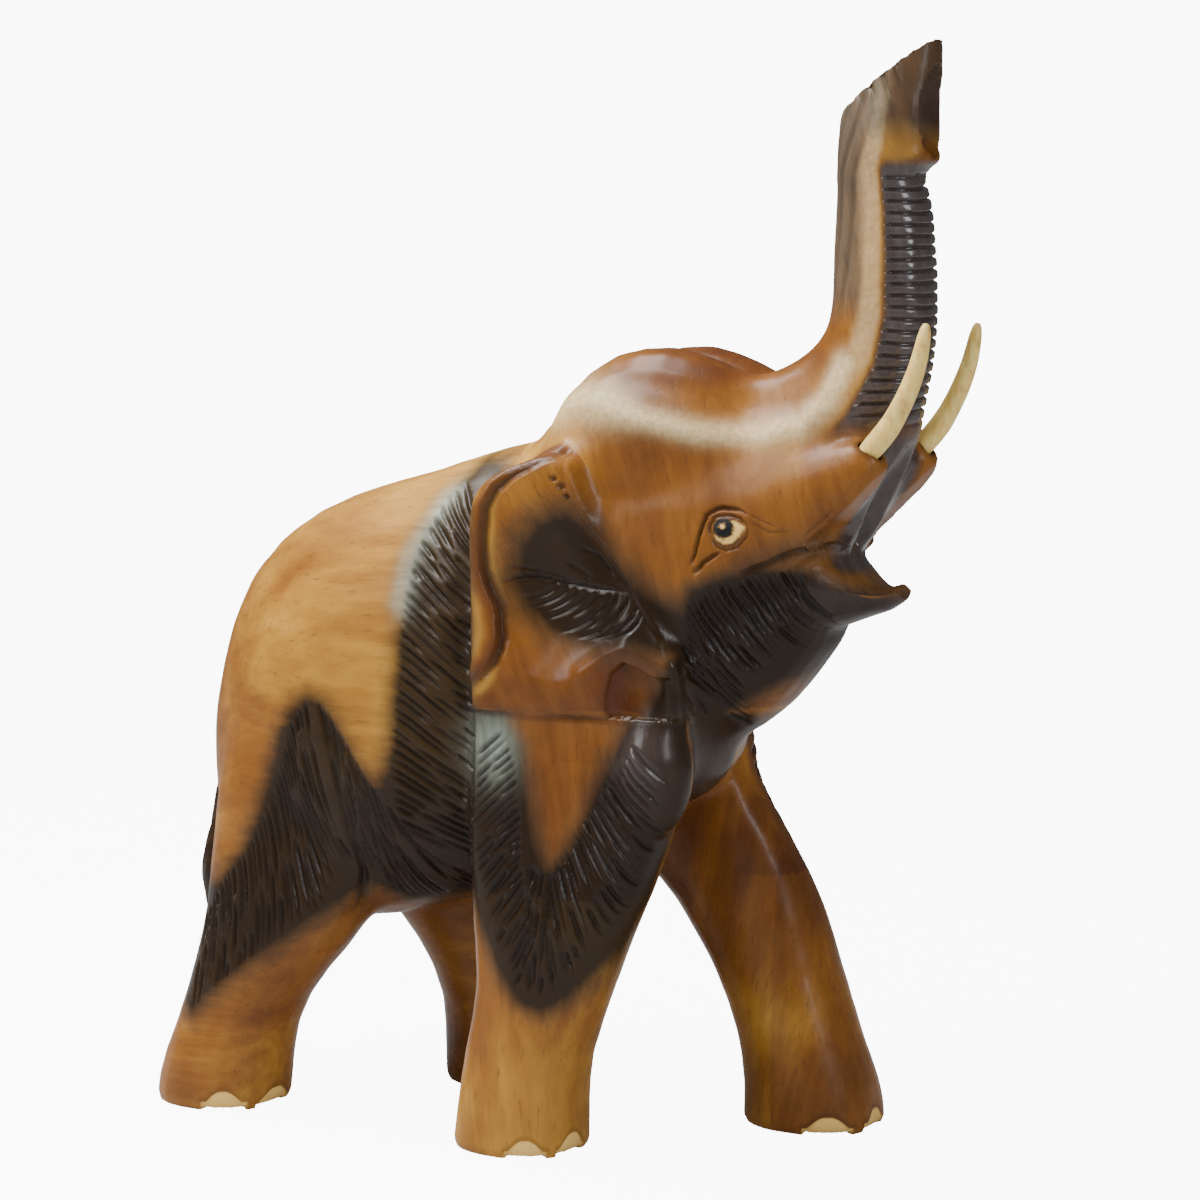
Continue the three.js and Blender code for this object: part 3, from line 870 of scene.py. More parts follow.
@dataclass
class EarSlab:
    """An ear slab: a rolled rim, a dark veined hollow and a scoop at the lobe."""

    rim: Groove = Groove([(31, 264), (22, 259.5), (15, 256), (9, 250.5), (5.5, 243), (4.5, 232),
                          (4.8, 221), (6.5, 214), (9.5, 207), (11, 195), (8.5, 187), (3, 180)],
                         5.0, 1.5, 0.10)
    veins: tuple[Groove | Hatch, ...] = (
        Groove([(10, 216), (15, 218), (22, 218.4), (33, 216), (44, 214.6), (57, 214)], 2.6, 1.3),
        Groove([(11, 222), (20, 221), (30, 219), (40, 216)], 1.6, 0.7),
        Groove([(33, 224), (38, 221.5), (44, 217)], 1.8, 0.8),
        Groove([(39, 229), (46, 226.5), (52, 219)], 1.8, 0.8),
        Hatch(start=[(27, 217), (36, 215), (46, 214), (57, 213), (66, 205)],
              middle=[(23, 213), (31, 209), (40, 206), (51, 203), (61, 198)],
              end=[(14, 212), (18, 206), (25, 201), (36, 197), (50, 195)], rows=10, length=30,
              width=2.1, depth=1.0),
    )
    dark: tuple[tuple[float, float], ...] = (
        (14, 232), (22, 241), (34, 245), (44, 240), (52, 228), (62, 219), (76, 210), (90, 206),
        (90, 190), (76, 187), (62, 192), (44, 191), (26, 196), (15, 205), (10, 217))
    scoop: Spots = ((51, 160), (51.5, 176), (53.5, 184), (58, 188), (63, 186), (69, 182.5),
                    (76, 183), (79, 172), (79, 160))
    blotches: tuple[tuple[float, float, float], ...] = (
        (15, 178, 5.5), (33, 182, 4.0), (36, 172, 5.0), (72, 176, 4.0), (6, 174, 4.0))
    pits: tuple[tuple[float, float, float], ...] = (
        (31, 255, 1.7), (34, 252, 2.2), (35.5, 248, 1.6))

    def carve(self, surface: Surface, side: Side, sheet: Relief, chance: random.Random) -> None:
        """Cuts the rim's groove and the veins of one ear into a side sheet.

        Args:
            surface: Not used; the sheet is laid against the surface later.
            side: The side of the animal; not used.
            sheet: The sheet to cut.
            chance: The seeded source of unevenness.
        """
        self.rim.lay(sheet, chance)
        for vein in self.veins:
            vein.lay(sheet, chance)

    def stain(self, surface: Surface, side: Side) -> None:
        """Sprays the ear's hollow dark, deepens the red of its lobe and paints red-brown shade into
        its groove.

        Args:
            surface: The surface to stain and shape.
            side: The side of the animal.
        """
        x, z = surface.x, surface.z
        facing = ease(0.0, 0.4, surface.outward(side))
        surface.mark("stain", soft_patch(self.dark, x, z, 9.5) * facing)
        roll = line_distance([(u - 3.2, v + 1.2) for u, v in self.rim.line], x, z)
        on = facing * (z > 170) * (x < 40)
        groove = line_distance(self.rim.line, x, z)
        # The roll is redder wood; the red along the groove is painted shade in the crease.
        surface.mark("red", (0.55 * bell(roll, 2.6) + 0.6 * bell(groove, 2.4)) * on)
        surface.lower(-1.3 * bell(roll, 3.0) * on)
        surface.mark("gold", 0.7 * bell(roll - 5.5, 2.2) * on * ease(12, 6, x))
        lobe = soft_patch([(2, 168), (5, 190), (30, 193), (56, 190), (80, 186), (80, 168)], x, z, 4)
        surface.mark("red", 0.28 * lobe * facing)
        for u, v, radius in self.blotches:
            surface.mark("red", 0.62 * bell(np.hypot(x - u, z - v), radius) * facing)
        front = np.interp(z, [p[1] for p in EAR_FRONT[::-1]], [p[0] for p in EAR_FRONT[::-1]])
        step = ease(-15, -1.5, x - front) * ease(1.2, -0.8, x - front) * facing
        step *= ease(266, 254, z) * ease(182, 198, z)
        surface.lower(1.5 * step)
        # A darker line at the foot of the step in front of the ear: painted shade under the head's
        # edge.
        surface.mark("stain", 0.35 * step * ease(-5, -1, x - front) * ease(250, 235, z))
        scoop = soft_patch(self.scoop, x, z, 0.8) * facing * (z > 167.5)
        surface.lower(scoop * (0.8 + 3.6 * np.clip(1 - ((x - 63) / 13) ** 2, 0, 1)))
        # The scoop's left side red-dark: painted shade on the side turned from the light.
        surface.mark("red", 0.85 * scoop * ease(64, 54, x))
        ridge = line_distance([(42, 184), (50, 190), (59, 193), (68, 189), (78, 187)], x, z)
        surface.lower(-1.5 * bell(ridge, 3.6) * facing * (1 - scoop))
        surface.mark("red", 0.35 * bell(ridge, 4) * facing)
        for u, v, radius in self.pits:
            pit = ease(radius, 0.4 * radius, np.hypot(x - u, z - v)) * facing
            surface.lower(1.1 * pit)
            # The pits darkened: painted shade.
            surface.mark("cut", 0.8 * pit)


@dataclass
class HeadBlock:
    """The head, neck and trunk."""

    eye: tuple[float, float] = (94.0, 238.0)
    socket_mouth: tuple[float, float] = (142.5, 265.5)
    socket_side: float = 23.0
    socket_lean: float = 0.709
    socket_radius: float = 4.9
    socket_depth: float = 11.5
    rib_pitch: float = 4.2
    wrinkles: tuple[Groove | Hatch, ...] = (
        Hatch(start=[(79, 210), (86, 215), (93, 218), (101, 220), (109, 222), (117, 222)],
              middle=[(84, 196), (91, 202), (98, 206), (106, 209), (114, 211), (122, 211)],
              end=[(95, 180), (102, 186), (109, 191), (116, 196), (122, 200), (128, 203)],
              rows=18, length=38, width=2.3, depth=1.9),
        Hatch(start=[(79, 208), (77, 196), (77, 184)], middle=[(84, 194), (83, 182), (83, 173)],
              end=[(94, 178), (92, 168), (90, 160)], rows=8, length=30, width=2.3, depth=1.7),
        Groove([(99, 222), (108, 225), (116, 229), (126, 231.5)], 3.4, 1.5, 0.02),
        Groove([(122, 236), (127, 240), (134, 247)], 1.5, 0.5),
    )
    throat: tuple[tuple[float, float], ...] = (
        (79, 217), (74, 203), (72, 186), (66, 176), (62, 166), (64, 152), (76, 157), (94, 172),
        (116, 184), (134, 198), (152, 204), (150, 213), (140, 215), (130, 218), (118, 224),
        (105, 225), (92, 222))

    def carve(self, surface: Surface, side: Side, sheet: Relief, chance: random.Random) -> None:
        """Cuts the throat's wrinkles and the lines round one eye into a side sheet.

        Args:
            surface: Not used; the sheet is laid against the surface later.
            side: The side of the animal; not used.
            sheet: The sheet to cut.
            chance: The seeded source of unevenness.
        """
        for wrinkle in self.wrinkles:
            wrinkle.lay(sheet, chance)
        ex, ez = self.eye
        lines = (
            ([(8.6, 0.6), (5, 3.9), (0, 4.9), (-4.6, 3.9), (-6.4, 0), (-5, -4.2)], 1.5, 1.0),
            ([(8.8, 0.3), (6.9, -3.6), (4, -7.0), (0.3, -8.0), (-3.6, -6.8), (-5.4, -3)], 1.3, 0.8),
            ([(7.5, 5.4), (4.6, 6.9), (-2.6, 7.4), (-7.6, 5.0), (-9.8, -2.3), (-11, -8.5),
              (-13.4, -15)], 2.2, 1.5),
            ([(-2.2, -8.8), (-5.8, -10.9), (-8, -12.6), (-12.0, -17)], 2.4, 1.5),
            ([(8.8, 2.6), (15.6, -1), (23.4, -0.6)], 1.3, 0.5),
            ([(9, 5.2), (13, 3.0), (19, 0.8)], 1.1, 0.4),
        )
        for line, width, depth in lines:
            Groove([(ex + u, ez + v) for u, v in line], width, depth, 0.14).lay(sheet, chance)

    def trunk(self, surface: Surface) -> None:
        """Cuts the trunk's ribs in front, its long grain behind and the notches at its tip.

        Args:
            surface: The surface to work.
        """
        x, y, z = surface.x, surface.y, surface.z
        middle = np.interp(z, (262, 279, 297, 314, 334, 352, 366, 380, 396),
                           (108, 124, 134.5, 138.5, 138.5, 138, 136.5, 139.5, 141.5))
        around = np.abs(np.arctan2(y, x - middle))  # 0 in front, pi behind
        high = ease(272, 282, z)
        near = z > 262
        wave = 0.9 * ripple(surface.spots, 17, 5.0, near) + 0.05 * (x - middle)
        rib = np.abs(((z - 0.10 * y + wave) / self.rib_pitch) % 1.0 - 0.5) * 2.0
        front = ease(1.22, 1.02, around) * high * ease(367, 362, z)
        surface.lower(front * (0.7 + 1.5 * ease(0.35, 1.0, rib) ** 1.6))
        # The grooves between the ribs darkened: painted shade.
        surface.mark("cut", 0.75 * front * ease(0.72, 1.0, rib))
        dark = ease(1.3, 1.08, around) * ease(264, 280, z) * ease(372, 366, z)
        surface.mark("stain", 0.92 * dark)
        # Glossy plum-black over the ribs, lightened as a painted reflection on their ridges.
        surface.mark("violet_and_sheen", dark)
        # A thin gold line along the edge of the ribbed front: painted highlight on the edge.
        surface.mark("gold", 0.25 * bell(around - 1.25, 0.10) * high * ease(378, 366, z))
        behind = ease(1.5, 1.95, around) * ease(306, 326, z)
        long_cut = np.sin(around * 15 + 0.12 * z + 2.0 * ripple(surface.spots, 30, 8.0, near))
        surface.lower(0.5 * behind * np.clip(long_cut, -0.2, 1.0))
        # The long cuts darkened: painted shade.
        surface.mark("cut", 0.35 * behind * np.clip(long_cut, 0, 1.0))
        surface.mark("stain", 0.62 * behind)
        surface.mark("green", ease(1.2, 1.6, around) * ease(290, 310, z))
        # A pale strip down each side of the trunk: dust plus a painted highlight from the light
        # above.
        strip = ease(1.2, 1.34, around) * ease(1.95, 1.6, around)
        strip = strip * ease(284, 304, z) * ease(404, 388, z)
        surface.mark("dust_and_highlight", 0.42 * strip)
        top = ease(388, 396, z) * ease(152, 143, x)
        notch = np.sin((x * 0.72 + z * 0.3) * 1.45 + 0.8 * ripple(surface.spots, 20, 2.0, near))
        notch = np.clip(notch, 0.0, 1.0) * ease(0.1, 0.5, np.abs(surface.normals[:, 1]))
        surface.lower(0.8 * top * notch)
        # The notches darkened: painted shade.
        surface.mark("cut", 0.5 * top * notch)
        # The channel of the mouth between the tusks: dark stain, with painted shade in the recess.
        inside = ease(17, 13, np.abs(y)) * ease(118, 128, x)
        inside = inside * ease(218, 224, z) * ease(280, 266, z)
        surface.mark("stain", 0.8 * inside)
        surface.mark("cut", 0.6 * inside)
        lip = ease(112, 124, x) * ease(196, 206, z) * ease(240, 228, z)
        surface.mark("stain", 0.24 * lip)
        # Glossy plum-black on the lip, partly a painted sheen.
        surface.mark("violet_and_sheen", 0.3 * lip)
        surface.mark("gold", 0.15 * lip * ease(208, 216, z))
        surface.mark("red", 0.15 * lip)
        # Darker round the crease from the mouth's corner: painted shade in the crease.
        crease = line_distance([(99, 222), (108, 225), (116, 229), (126, 231.5)], x, z)
        surface.mark("stain", 0.5 * bell(crease, 6.0))
        # Glossy plum-black in the mouth's channel, partly a painted sheen.
        surface.mark("violet_and_sheen", inside)
        for side in Side:
            self.socket(surface, side)
        tip = ease(372, 384, z)
        surface.mark("stain", 0.62 * tip)
        surface.mark("green", 0.3 * tip)
        hollow = np.hypot(np.hypot((x - 156) / 1.2, (z - 388) / 1.3), y / 0.9)
        surface.mark("red", 0.9 * ease(13, 9, hollow) * (np.abs(y) < 9))
        surface.mark("gold", 0.5 * ease(10, 6, np.hypot(x - 148, z - 376)) * ease(4, 8, np.abs(y)))

    def socket(self, surface: Surface, side: Side) -> None:
        """Reams one tusk's socket back to size and paints shade in and round its mouth.

        Args:
            surface: The surface to ream.
            side: Which tusk's socket.
        """
        axis = np.array([math.sin(self.socket_lean), 0.0, math.cos(self.socket_lean)])
        offset = surface.spots - np.array([self.socket_mouth[0], side.value * self.socket_side,
                                           self.socket_mouth[1]])
        depth = offset @ axis
        off = offset - depth[:, None] * axis
        wide = np.linalg.norm(off, axis=1)
        wall = (wide < self.socket_radius) & (wide > 0.5)
        wall &= (depth > -self.socket_depth) & (depth < 5)
        grow = np.where(wall, self.socket_radius / np.maximum(wide, 0.5) - 1.0, 0.0)
        surface.spots += off * grow[:, None]
        surface.sink[wide < 7.0] = 0.0
        # Painted shade in and round the socket's mouth, where the tusk goes in.
        surface.mark("cut", ease(7.2, 5.2, wide) * ease(9, 3, np.abs(depth)))

    def stain(self, surface: Surface, side: Side) -> None:
        """Sprays the throat, lays dust and painted highlight along the brow and paints one eye.

        Args:
            surface: The surface to stain and shape.
            side: The side of the animal.
        """
        x, z = surface.x, surface.z
        facing = ease(-0.6, -0.1, surface.outward(side))
        out = ease(0.1, 0.4, surface.outward(side))
        surface.mark("stain", 0.95 * soft_patch(self.throat, x, z, 5.5) * facing * (surface.x > 0))
        # A pale band along the brow ridge: dust plus a painted highlight where the ridge turns up
        # to the light.
        band = line_distance(BROW, x, z)
        width = np.interp(x, (20, 40, 60, 90, 120), (9, 8, 4.2, 4.2, 5.0))
        surface.mark("dust_and_highlight", 0.82 * np.exp(-((band / width) ** 2)) * out)
        knot = np.hypot((x - 63) / 1.3, z - 264)
        surface.mark("red", (0.55 * bell(knot, 3.0) + 0.3 * bell(knot - 5.5, 1.2)) * out)
        u, v = (x - self.eye[0]) * 1.22, (z - self.eye[1]) * 1.22 + 0.4
        white = soft_patch([(-5.0, -1.0), (-4.2, -4.6), (-0.6, -6.6), (2.6, -6.0), (5.4, -3.2),
                            (8.8, 1.4), (5.0, 3.4), (0.6, 4.2), (-3.8, 3.0)], u, v, 0.4)
        pupil = ease(1.08, 0.94, np.hypot((u + 1.1) / 4.7, (v - 0.5) / 4.3))
        glint = ease(1.25, 0.85, np.hypot(u + 1.5, v - 1.2) / 1.15)
        lid = soft_patch([(-6.6, -2), (-5.6, -6), (-1, -8.6), (3.4, -7.8), (7, -4), (9.2, 1),
                          (5.8, 5), (0.6, 5.9), (-5, 4.6)], u, v, 0.5)
        surface.mark("stain", 0.45 * np.clip(lid - white, 0, 1) * out)
        surface.mark("raw", np.maximum(white * (1 - pupil), glint) * out)
        surface.mark("ink", pupil * (1 - glint) * out)
        surface.lower(-0.7 * ease(1.25, 0.1, np.hypot(u / 6.5, (v + 1.2) / 5.5)) * out)


@dataclass
class Feet:
    """The toenails: raw scallops pared round the front of each sole."""

    centres: tuple[tuple[float, float], ...] = ((-131, -43), (9, -42), (91, 43), (-48, 42))
    turns: tuple[float, ...] = (-56, -4, 50)
    reach: float = 36.0
    clear: float = 14.0
    height: float = 7.6
    half_turn: float = 21.0

    def carve(self, surface: Surface, chance: random.Random) -> None:
        """Pares and bares each nail.

        Args:
            surface: The surface to cut.
            chance: The seeded source of unevenness.
        """
        x, y, z = surface.x, surface.y, surface.z
        for cx, cy in self.centres:
            near = (np.hypot(x - cx, y - cy) < self.reach) & (z < self.clear)
            angle = np.degrees(np.arctan2(y - cy, x - cx))
            for turn in self.turns:
                turn = turn * (1 if cy < 0 else -1) + chance.uniform(-5, 5)
                half = self.half_turn * chance.uniform(0.85, 1.1)
                across = np.abs((angle - turn + 180) % 360 - 180) / half
                scallop = np.abs(np.sin(across * chance.uniform(1.9, 2.6) + 1.3))
                top = self.height * chance.uniform(0.85, 1.15) * (
                    1 - 0.5 * across ** 2) * (0.62 + 0.38 * scallop)
                nail = near * ease(1.03, 0.95, across) * ease(0.35, -0.35, z - top)
                surface.lower(nail * (0.5 + 1.0 * ease(7, 0, z)))
                surface.mark("raw", nail * 0.95)
                rim = near * ease(1.25, 1.0, across) * bell(z - top - 1.0, 1.1)
                # A dark line above each nail: painted shade along the pared step.
                surface.mark("cut", 0.5 * rim)


# Finishes.


@dataclass(frozen=True)
class WoodFinish:
    """Stained and varnished wood with its grain along one direction."""

    name: str
    slot: str
    grain: tuple[float, float, float]
    turn: tuple[float, float, float] = (0.0, 0.0, 0.0)
    roughness: float = 0.36

    def build(self) -> bpy.types.Material:
        """Builds the finish as a material.

        Returns:
            The material.
        """
        kit = NodeKit(self.name)
        place = kit.node("ShaderNodeMapping", Rotation=self.turn)
        kit.link(kit.node("ShaderNodeTexCoord").outputs["Object"], place.inputs["Vector"])
        stretched = kit.node("ShaderNodeMapping", Scale=self.grain)
        kit.link(place.outputs[0], stretched.inputs["Vector"])
        fibre = kit.noise(stretched.outputs[0], 260.0, 5.0, 0.62, 0.3)
        pore = kit.noise(stretched.outputs[0], 700.0, 3.0, 0.6, 0.0)
        figure = kit.noise(stretched.outputs[0], 34.0, 4.0, 0.55, 1.2)
        cloud = kit.noise(place.outputs[0], 17.0, 3.0, 0.5, 0.4)
        marks = {name: kit.attribute(name) for name in MARKS}
        tone = kit.math("ADD", marks["tone"], kit.spread(cloud, -0.15, 0.15))
        tone = kit.math("ADD", tone, kit.spread(figure, -0.14, 0.14))
        wood = kit.ramp(tone, ((0.0, PALE_GOLD), (0.28, GOLD), (0.55, AMBER), (0.8, CHESTNUT),
                               (1.0, RED_BROWN)))
        wood = kit.mix(kit.spread(fibre, 0.0, 0.42), wood, UMBER, "MULTIPLY")
        wood = kit.mix(kit.math("MULTIPLY", kit.step(pore, 0.60, 0.72), 0.42), wood, DARK_PORE)
        wood = kit.mix(kit.math("MULTIPLY", marks["red"], 0.85), wood, DEEP_RED)
        # Brighter gold: the wood's own, and a painted highlight along the trunk's edge.
        wood = kit.mix(kit.math("MULTIPLY", marks["gold"], 0.75), wood, BRIGHT_GOLD)
        # Pale dust with a painted highlight on the brow and the trunk's sides.
        speck = kit.spread(kit.noise(place.outputs[0], 420.0, 3.0, 0.7, 0.0), 0.55, 1.0)
        wood = kit.mix(kit.math("MULTIPLY", marks["dust_and_highlight"], speck), wood, PALE_DUST_AND_HIGHLIGHT)
        uneven = kit.math("ADD", marks["stain"], kit.spread(cloud, -0.10, 0.10))
        veil = kit.ramp(uneven, ((0.0, OLIVE), (0.4, SLATE), (0.85, CHARCOAL), (1.0, CHARCOAL)))
        # Pale blue-grey where the spray thins, partly a painted sheen.
        veil = kit.mix(marks["mist_and_sheen"], veil, MIST_AND_SHEEN)
        # Plum-black on the glossy parts, lighter than the charcoal as a painted sheen.
        veil = kit.mix(marks["violet_and_sheen"], veil, PLUM_BLACK_AND_SHEEN)
        veil = kit.mix(marks["green"], veil, MOSS_GREY)
        veil = kit.mix(kit.spread(fibre, 0.0, 0.5), veil, BROWN_BLACK)
        grainy = kit.math("ADD", marks["stain"], kit.spread(fibre, -0.07, 0.07))
        cover = kit.step(grainy, 0.04, 0.86)
        cover = kit.math("MAXIMUM", cover, kit.math("MULTIPLY", marks["mist_and_sheen"], 0.8))
        body = kit.mix(kit.math("MULTIPLY", cover, 0.94), wood, veil)
        # Near-black in the cuts: painted shade in grooves, pits and notches, and the dark of the
        # glue lines.
        body = kit.mix(kit.math("MULTIPLY", marks["cut"], 0.62), body, GROOVE_SHADE_BLACK)
        body = kit.mix(marks["raw"], body, RAW_CREAM)
        body = kit.mix(marks["ink"], body, INK)
        shine = kit.math("ADD", kit.spread(cloud, -0.05, 0.08), self.roughness)
        shine = kit.math("ADD", shine, kit.math("MULTIPLY", marks["violet_and_sheen"], -0.12))
        shine = kit.math("ADD", shine, kit.math("MULTIPLY", marks["raw"], 0.3))
        shine = kit.math("ADD", shine, kit.math("MULTIPLY", marks["dust_and_highlight"], 0.06))
        height = kit.math("ADD", kit.math("MULTIPLY", fibre, 0.6),
                          kit.math("MULTIPLY", kit.step(pore, 0.58, 0.74), -0.8))
        shader = kit.shader(body, shine, height, 0.28, 0.00025)
        kit.feed(kit.spread(marks["violet_and_sheen"], 0.05, 0.5), shader.inputs["Coat Weight"])
        shader.inputs["Coat Roughness"].default_value = 0.15
        shader.inputs["IOR"].default_value = 1.27
        return kit.material


@dataclass(frozen=True)
class TuskFinish:
    """Scraped cream wood or bone with brown mottling at the root."""

    name: str = "tusk_cream"

    def build(self) -> bpy.types.Material:
        """Builds the finish as a material.

        Returns:
            The material.
        """
        kit = NodeKit(self.name)
        place = kit.node("ShaderNodeTexCoord").outputs["Object"]
        long_way = kit.node("ShaderNodeMapping", Scale=(1.0, 1.0, 0.25))
        kit.link(place, long_way.inputs["Vector"])
        fibre = kit.noise(long_way.outputs[0], 520.0, 4.0, 0.6, 0.4)
        patch = kit.noise(place, 120.0, 5.0, 0.68, 0.6)
        body = kit.ramp(fibre, ((0.3, (0.86, 0.50, 0.11)), (0.55, (0.96, 0.68, 0.19)),
                                (0.75, (1.0, 0.80, 0.30))))
        body = kit.mix(kit.math("MULTIPLY", kit.step(patch, 0.52, 0.68), 0.55), body,
                       (0.34, 0.20, 0.085))
        shader = kit.shader(body, kit.spread(patch, 0.42, 0.6), fibre, 0.2, 0.0002)
        shader.inputs["Coat Weight"].default_value = 0.12
        return kit.material


@dataclass(frozen=True)
class DowelFinish:
    """Plain turned dowel, unvarnished."""

    name: str = "dowel_wood"

    def build(self) -> bpy.types.Material:
        """Builds the finish as a material.

        Returns:
            The material.
        """
        kit = NodeKit(self.name)
        place = kit.node("ShaderNodeTexCoord").outputs["Object"]
        fibre = kit.noise(place, 300.0, 4.0, 0.6, 0.5)
        body = kit.ramp(fibre, ((0.3, (0.42, 0.27, 0.12)), (0.7, (0.62, 0.44, 0.22))))
        kit.shader(body, kit.spread(fibre, 0.65, 0.85), fibre, 0.3, 0.0003)
        return kit.material


Colour = tuple[float, float, float]
MARKS = ("tone", "stain", "cut", "dust_and_highlight", "raw", "ink", "red", "gold", "violet_and_sheen", "green", "mist_and_sheen")

PALE_GOLD: Colour = (0.8, 0.47, 0.115)
GOLD: Colour = (0.52, 0.25, 0.038)
AMBER: Colour = (0.29, 0.112, 0.019)
CHESTNUT: Colour = (0.175, 0.062, 0.014)
RED_BROWN: Colour = (0.11, 0.036, 0.011)
UMBER: Colour = (0.48, 0.36, 0.28)
DARK_PORE: Colour = (0.070, 0.032, 0.012)
DEEP_RED: Colour = (0.095, 0.028, 0.014)
BRIGHT_GOLD: Colour = (0.60, 0.32, 0.06)
PALE_DUST_AND_HIGHLIGHT: Colour = (0.95, 0.74, 0.40)
OLIVE: Colour = (0.1, 0.082, 0.044)
MIST_AND_SHEEN: Colour = (0.4, 0.47, 0.38)
SLATE: Colour = (0.04, 0.037, 0.026)
CHARCOAL: Colour = (0.011, 0.008, 0.005)
PLUM_BLACK_AND_SHEEN: Colour = (0.085, 0.075, 0.08)
MOSS_GREY: Colour = (0.15, 0.145, 0.11)
BROWN_BLACK: Colour = (0.02, 0.012, 0.006)
GROOVE_SHADE_BLACK: Colour = (0.006, 0.004, 0.003)
RAW_CREAM: Colour = (0.95, 0.6, 0.18)
INK: Colour = (0.012, 0.012, 0.013)


class NodeKit:
    """A short way to write a node material."""

    def __init__(self, name: str) -> None:
        """Starts an empty node material.

        Args:
            name: The material's name.
        """
        self.material = bpy.data.materials.new(name)
        self.material.use_nodes = True
        self.tree = self.material.node_tree
        self.tree.nodes.clear()

    def node(self, kind: str, **values: object) -> bpy.types.Node:
        """Adds a node.

        Args:
            kind: The node's type.
            **values: The values of its sockets, by name.

        Returns:
            The node.
        """
        made = self.tree.nodes.new(kind)
        for name, value in values.items():
            made.inputs[name].default_value = value
        return made

    def link(self, output: bpy.types.NodeSocket, entry: bpy.types.NodeSocket) -> None:
        """Joins an output to an input."""
        self.tree.links.new(output, entry)

    def feed(self, value: object, entry: bpy.types.NodeSocket) -> None:
        """Links a socket, or sets a number or colour, as an input.

        Args:
            value: The socket, number or colour.
            entry: The input.
        """
        if isinstance(value, bpy.types.NodeSocket):
            self.link(value, entry)
        elif isinstance(value, tuple):
            entry.default_value = (*value, 1.0)
        else:
            entry.default_value = value

    def attribute(self, name: str) -> bpy.types.NodeSocket:
        """Reads a named mark on the mesh.

        Args:
            name: The mark.

        Returns:
            Its value.
        """
        made = self.tree.nodes.new("ShaderNodeAttribute")
        made.attribute_name = name
        return made.outputs["Fac"]

    def noise(self, place: bpy.types.NodeSocket, scale: float, detail: float, rough: float,
              warp: float) -> bpy.types.NodeSocket:
        """Adds noise.

        Args:
            place: The coordinates that it follows.
            scale: How fine it is.
            detail: How many finer layers it has.
            rough: The share of each finer layer.
            warp: How far it is distorted.

        Returns:
            Its height.
        """
        made = self.node("ShaderNodeTexNoise", Scale=scale, Detail=detail, Roughness=rough,
                         Distortion=warp)
        self.link(place, made.inputs["Vector"])
        return made.outputs["Fac"]

    def math(self, kind: str, a: object, b: object) -> bpy.types.NodeSocket:
        """Adds a sum.

        Args:
            kind: The sum's name.
            a: The first number or socket.
            b: The second.

        Returns:
            The result.
        """
        made = self.tree.nodes.new("ShaderNodeMath")
        made.operation = kind
        self.feed(a, made.inputs[0])
        self.feed(b, made.inputs[1])
        return made.outputs[0]

    def fit(self, value: object, low: float, high: float, to_low: float,
            to_high: float) -> bpy.types.NodeSocket:
        """Maps one range onto another, clamped.

        Args:
            value: The number or socket to map.
            low: The start of its range.
            high: The end.
            to_low: The start of the new range.
            to_high: The end.

        Returns:
            The mapped value.
        """
        made = self.node("ShaderNodeMapRange")
        for name, number in zip(("From Min", "From Max", "To Min", "To Max"),
                                (low, high, to_low, to_high)):
            made.inputs[name].default_value = number
        self.feed(value, made.inputs["Value"])
        return made.outputs["Result"]

    def spread(self, value: object, low: float, high: float) -> bpy.types.NodeSocket:
        """Maps noise, which mostly lies from 0.3 to 0.7, onto a range."""
        return self.fit(value, 0.3, 0.7, low, high)

    def step(self, value: object, low: float, high: float) -> bpy.types.NodeSocket:
        """Maps a range onto 0 to 1."""
        return self.fit(value, low, high, 0.0, 1.0)

    def ramp(self, value: object, stops: Sequence[tuple[float, Colour]]) -> bpy.types.NodeSocket:
        """Adds a colour ramp.

        Args:
            value: The place on the ramp.
            stops: The ramp's places and colours.

        Returns:
            The colour.
        """
        made = self.tree.nodes.new("ShaderNodeValToRGB")
        band = made.color_ramp
        while len(band.elements) < len(stops):
            band.elements.new(1.0)
        for element, (place, colour) in zip(band.elements, stops):
            element.position = place
            element.color = (*colour, 1.0)
        self.feed(value, made.inputs["Fac"])
        return made.outputs["Color"]

    def mix(self, share: object, a: object, b: object, kind: str = "MIX") -> bpy.types.NodeSocket:
        """Mixes two colours.

        Args:
            share: How much of the second colour there is.
            a: The first colour.
            b: The second.
            kind: The way of blending.

        Returns:
            The mixed colour.
        """
        made = self.tree.nodes.new("ShaderNodeMix")
        made.data_type = "RGBA"
        made.blend_type = kind
        self.feed(share, made.inputs["Factor"])
        self.feed(a, made.inputs[6])
        self.feed(b, made.inputs[7])
        return made.outputs[2]

    def shader(self, colour: object, roughness: object, height: object, strength: float,
               distance: float) -> bpy.types.Node:
        """Ends the material with a principled shader and a bump.

        Args:
            colour: The base colour.
            roughness: The roughness.
            height: The bump's height.
            strength: The bump's strength.
            distance: The bump's distance, in metres.

        Returns:
            The principled shader.
        """
        shader = self.tree.nodes.new("ShaderNodeBsdfPrincipled")
        bump = self.node("ShaderNodeBump", Strength=strength, Distance=distance)
        self.feed(height, bump.inputs["Height"])
        self.link(bump.outputs["Normal"], shader.inputs["Normal"])
        self.feed(colour, shader.inputs["Base Color"])
        self.feed(roughness, shader.inputs["Roughness"])
        out = self.tree.nodes.new("ShaderNodeOutputMaterial")
        self.link(shader.outputs[0], out.inputs[0])
        return shader


# The workshop: everything put together.


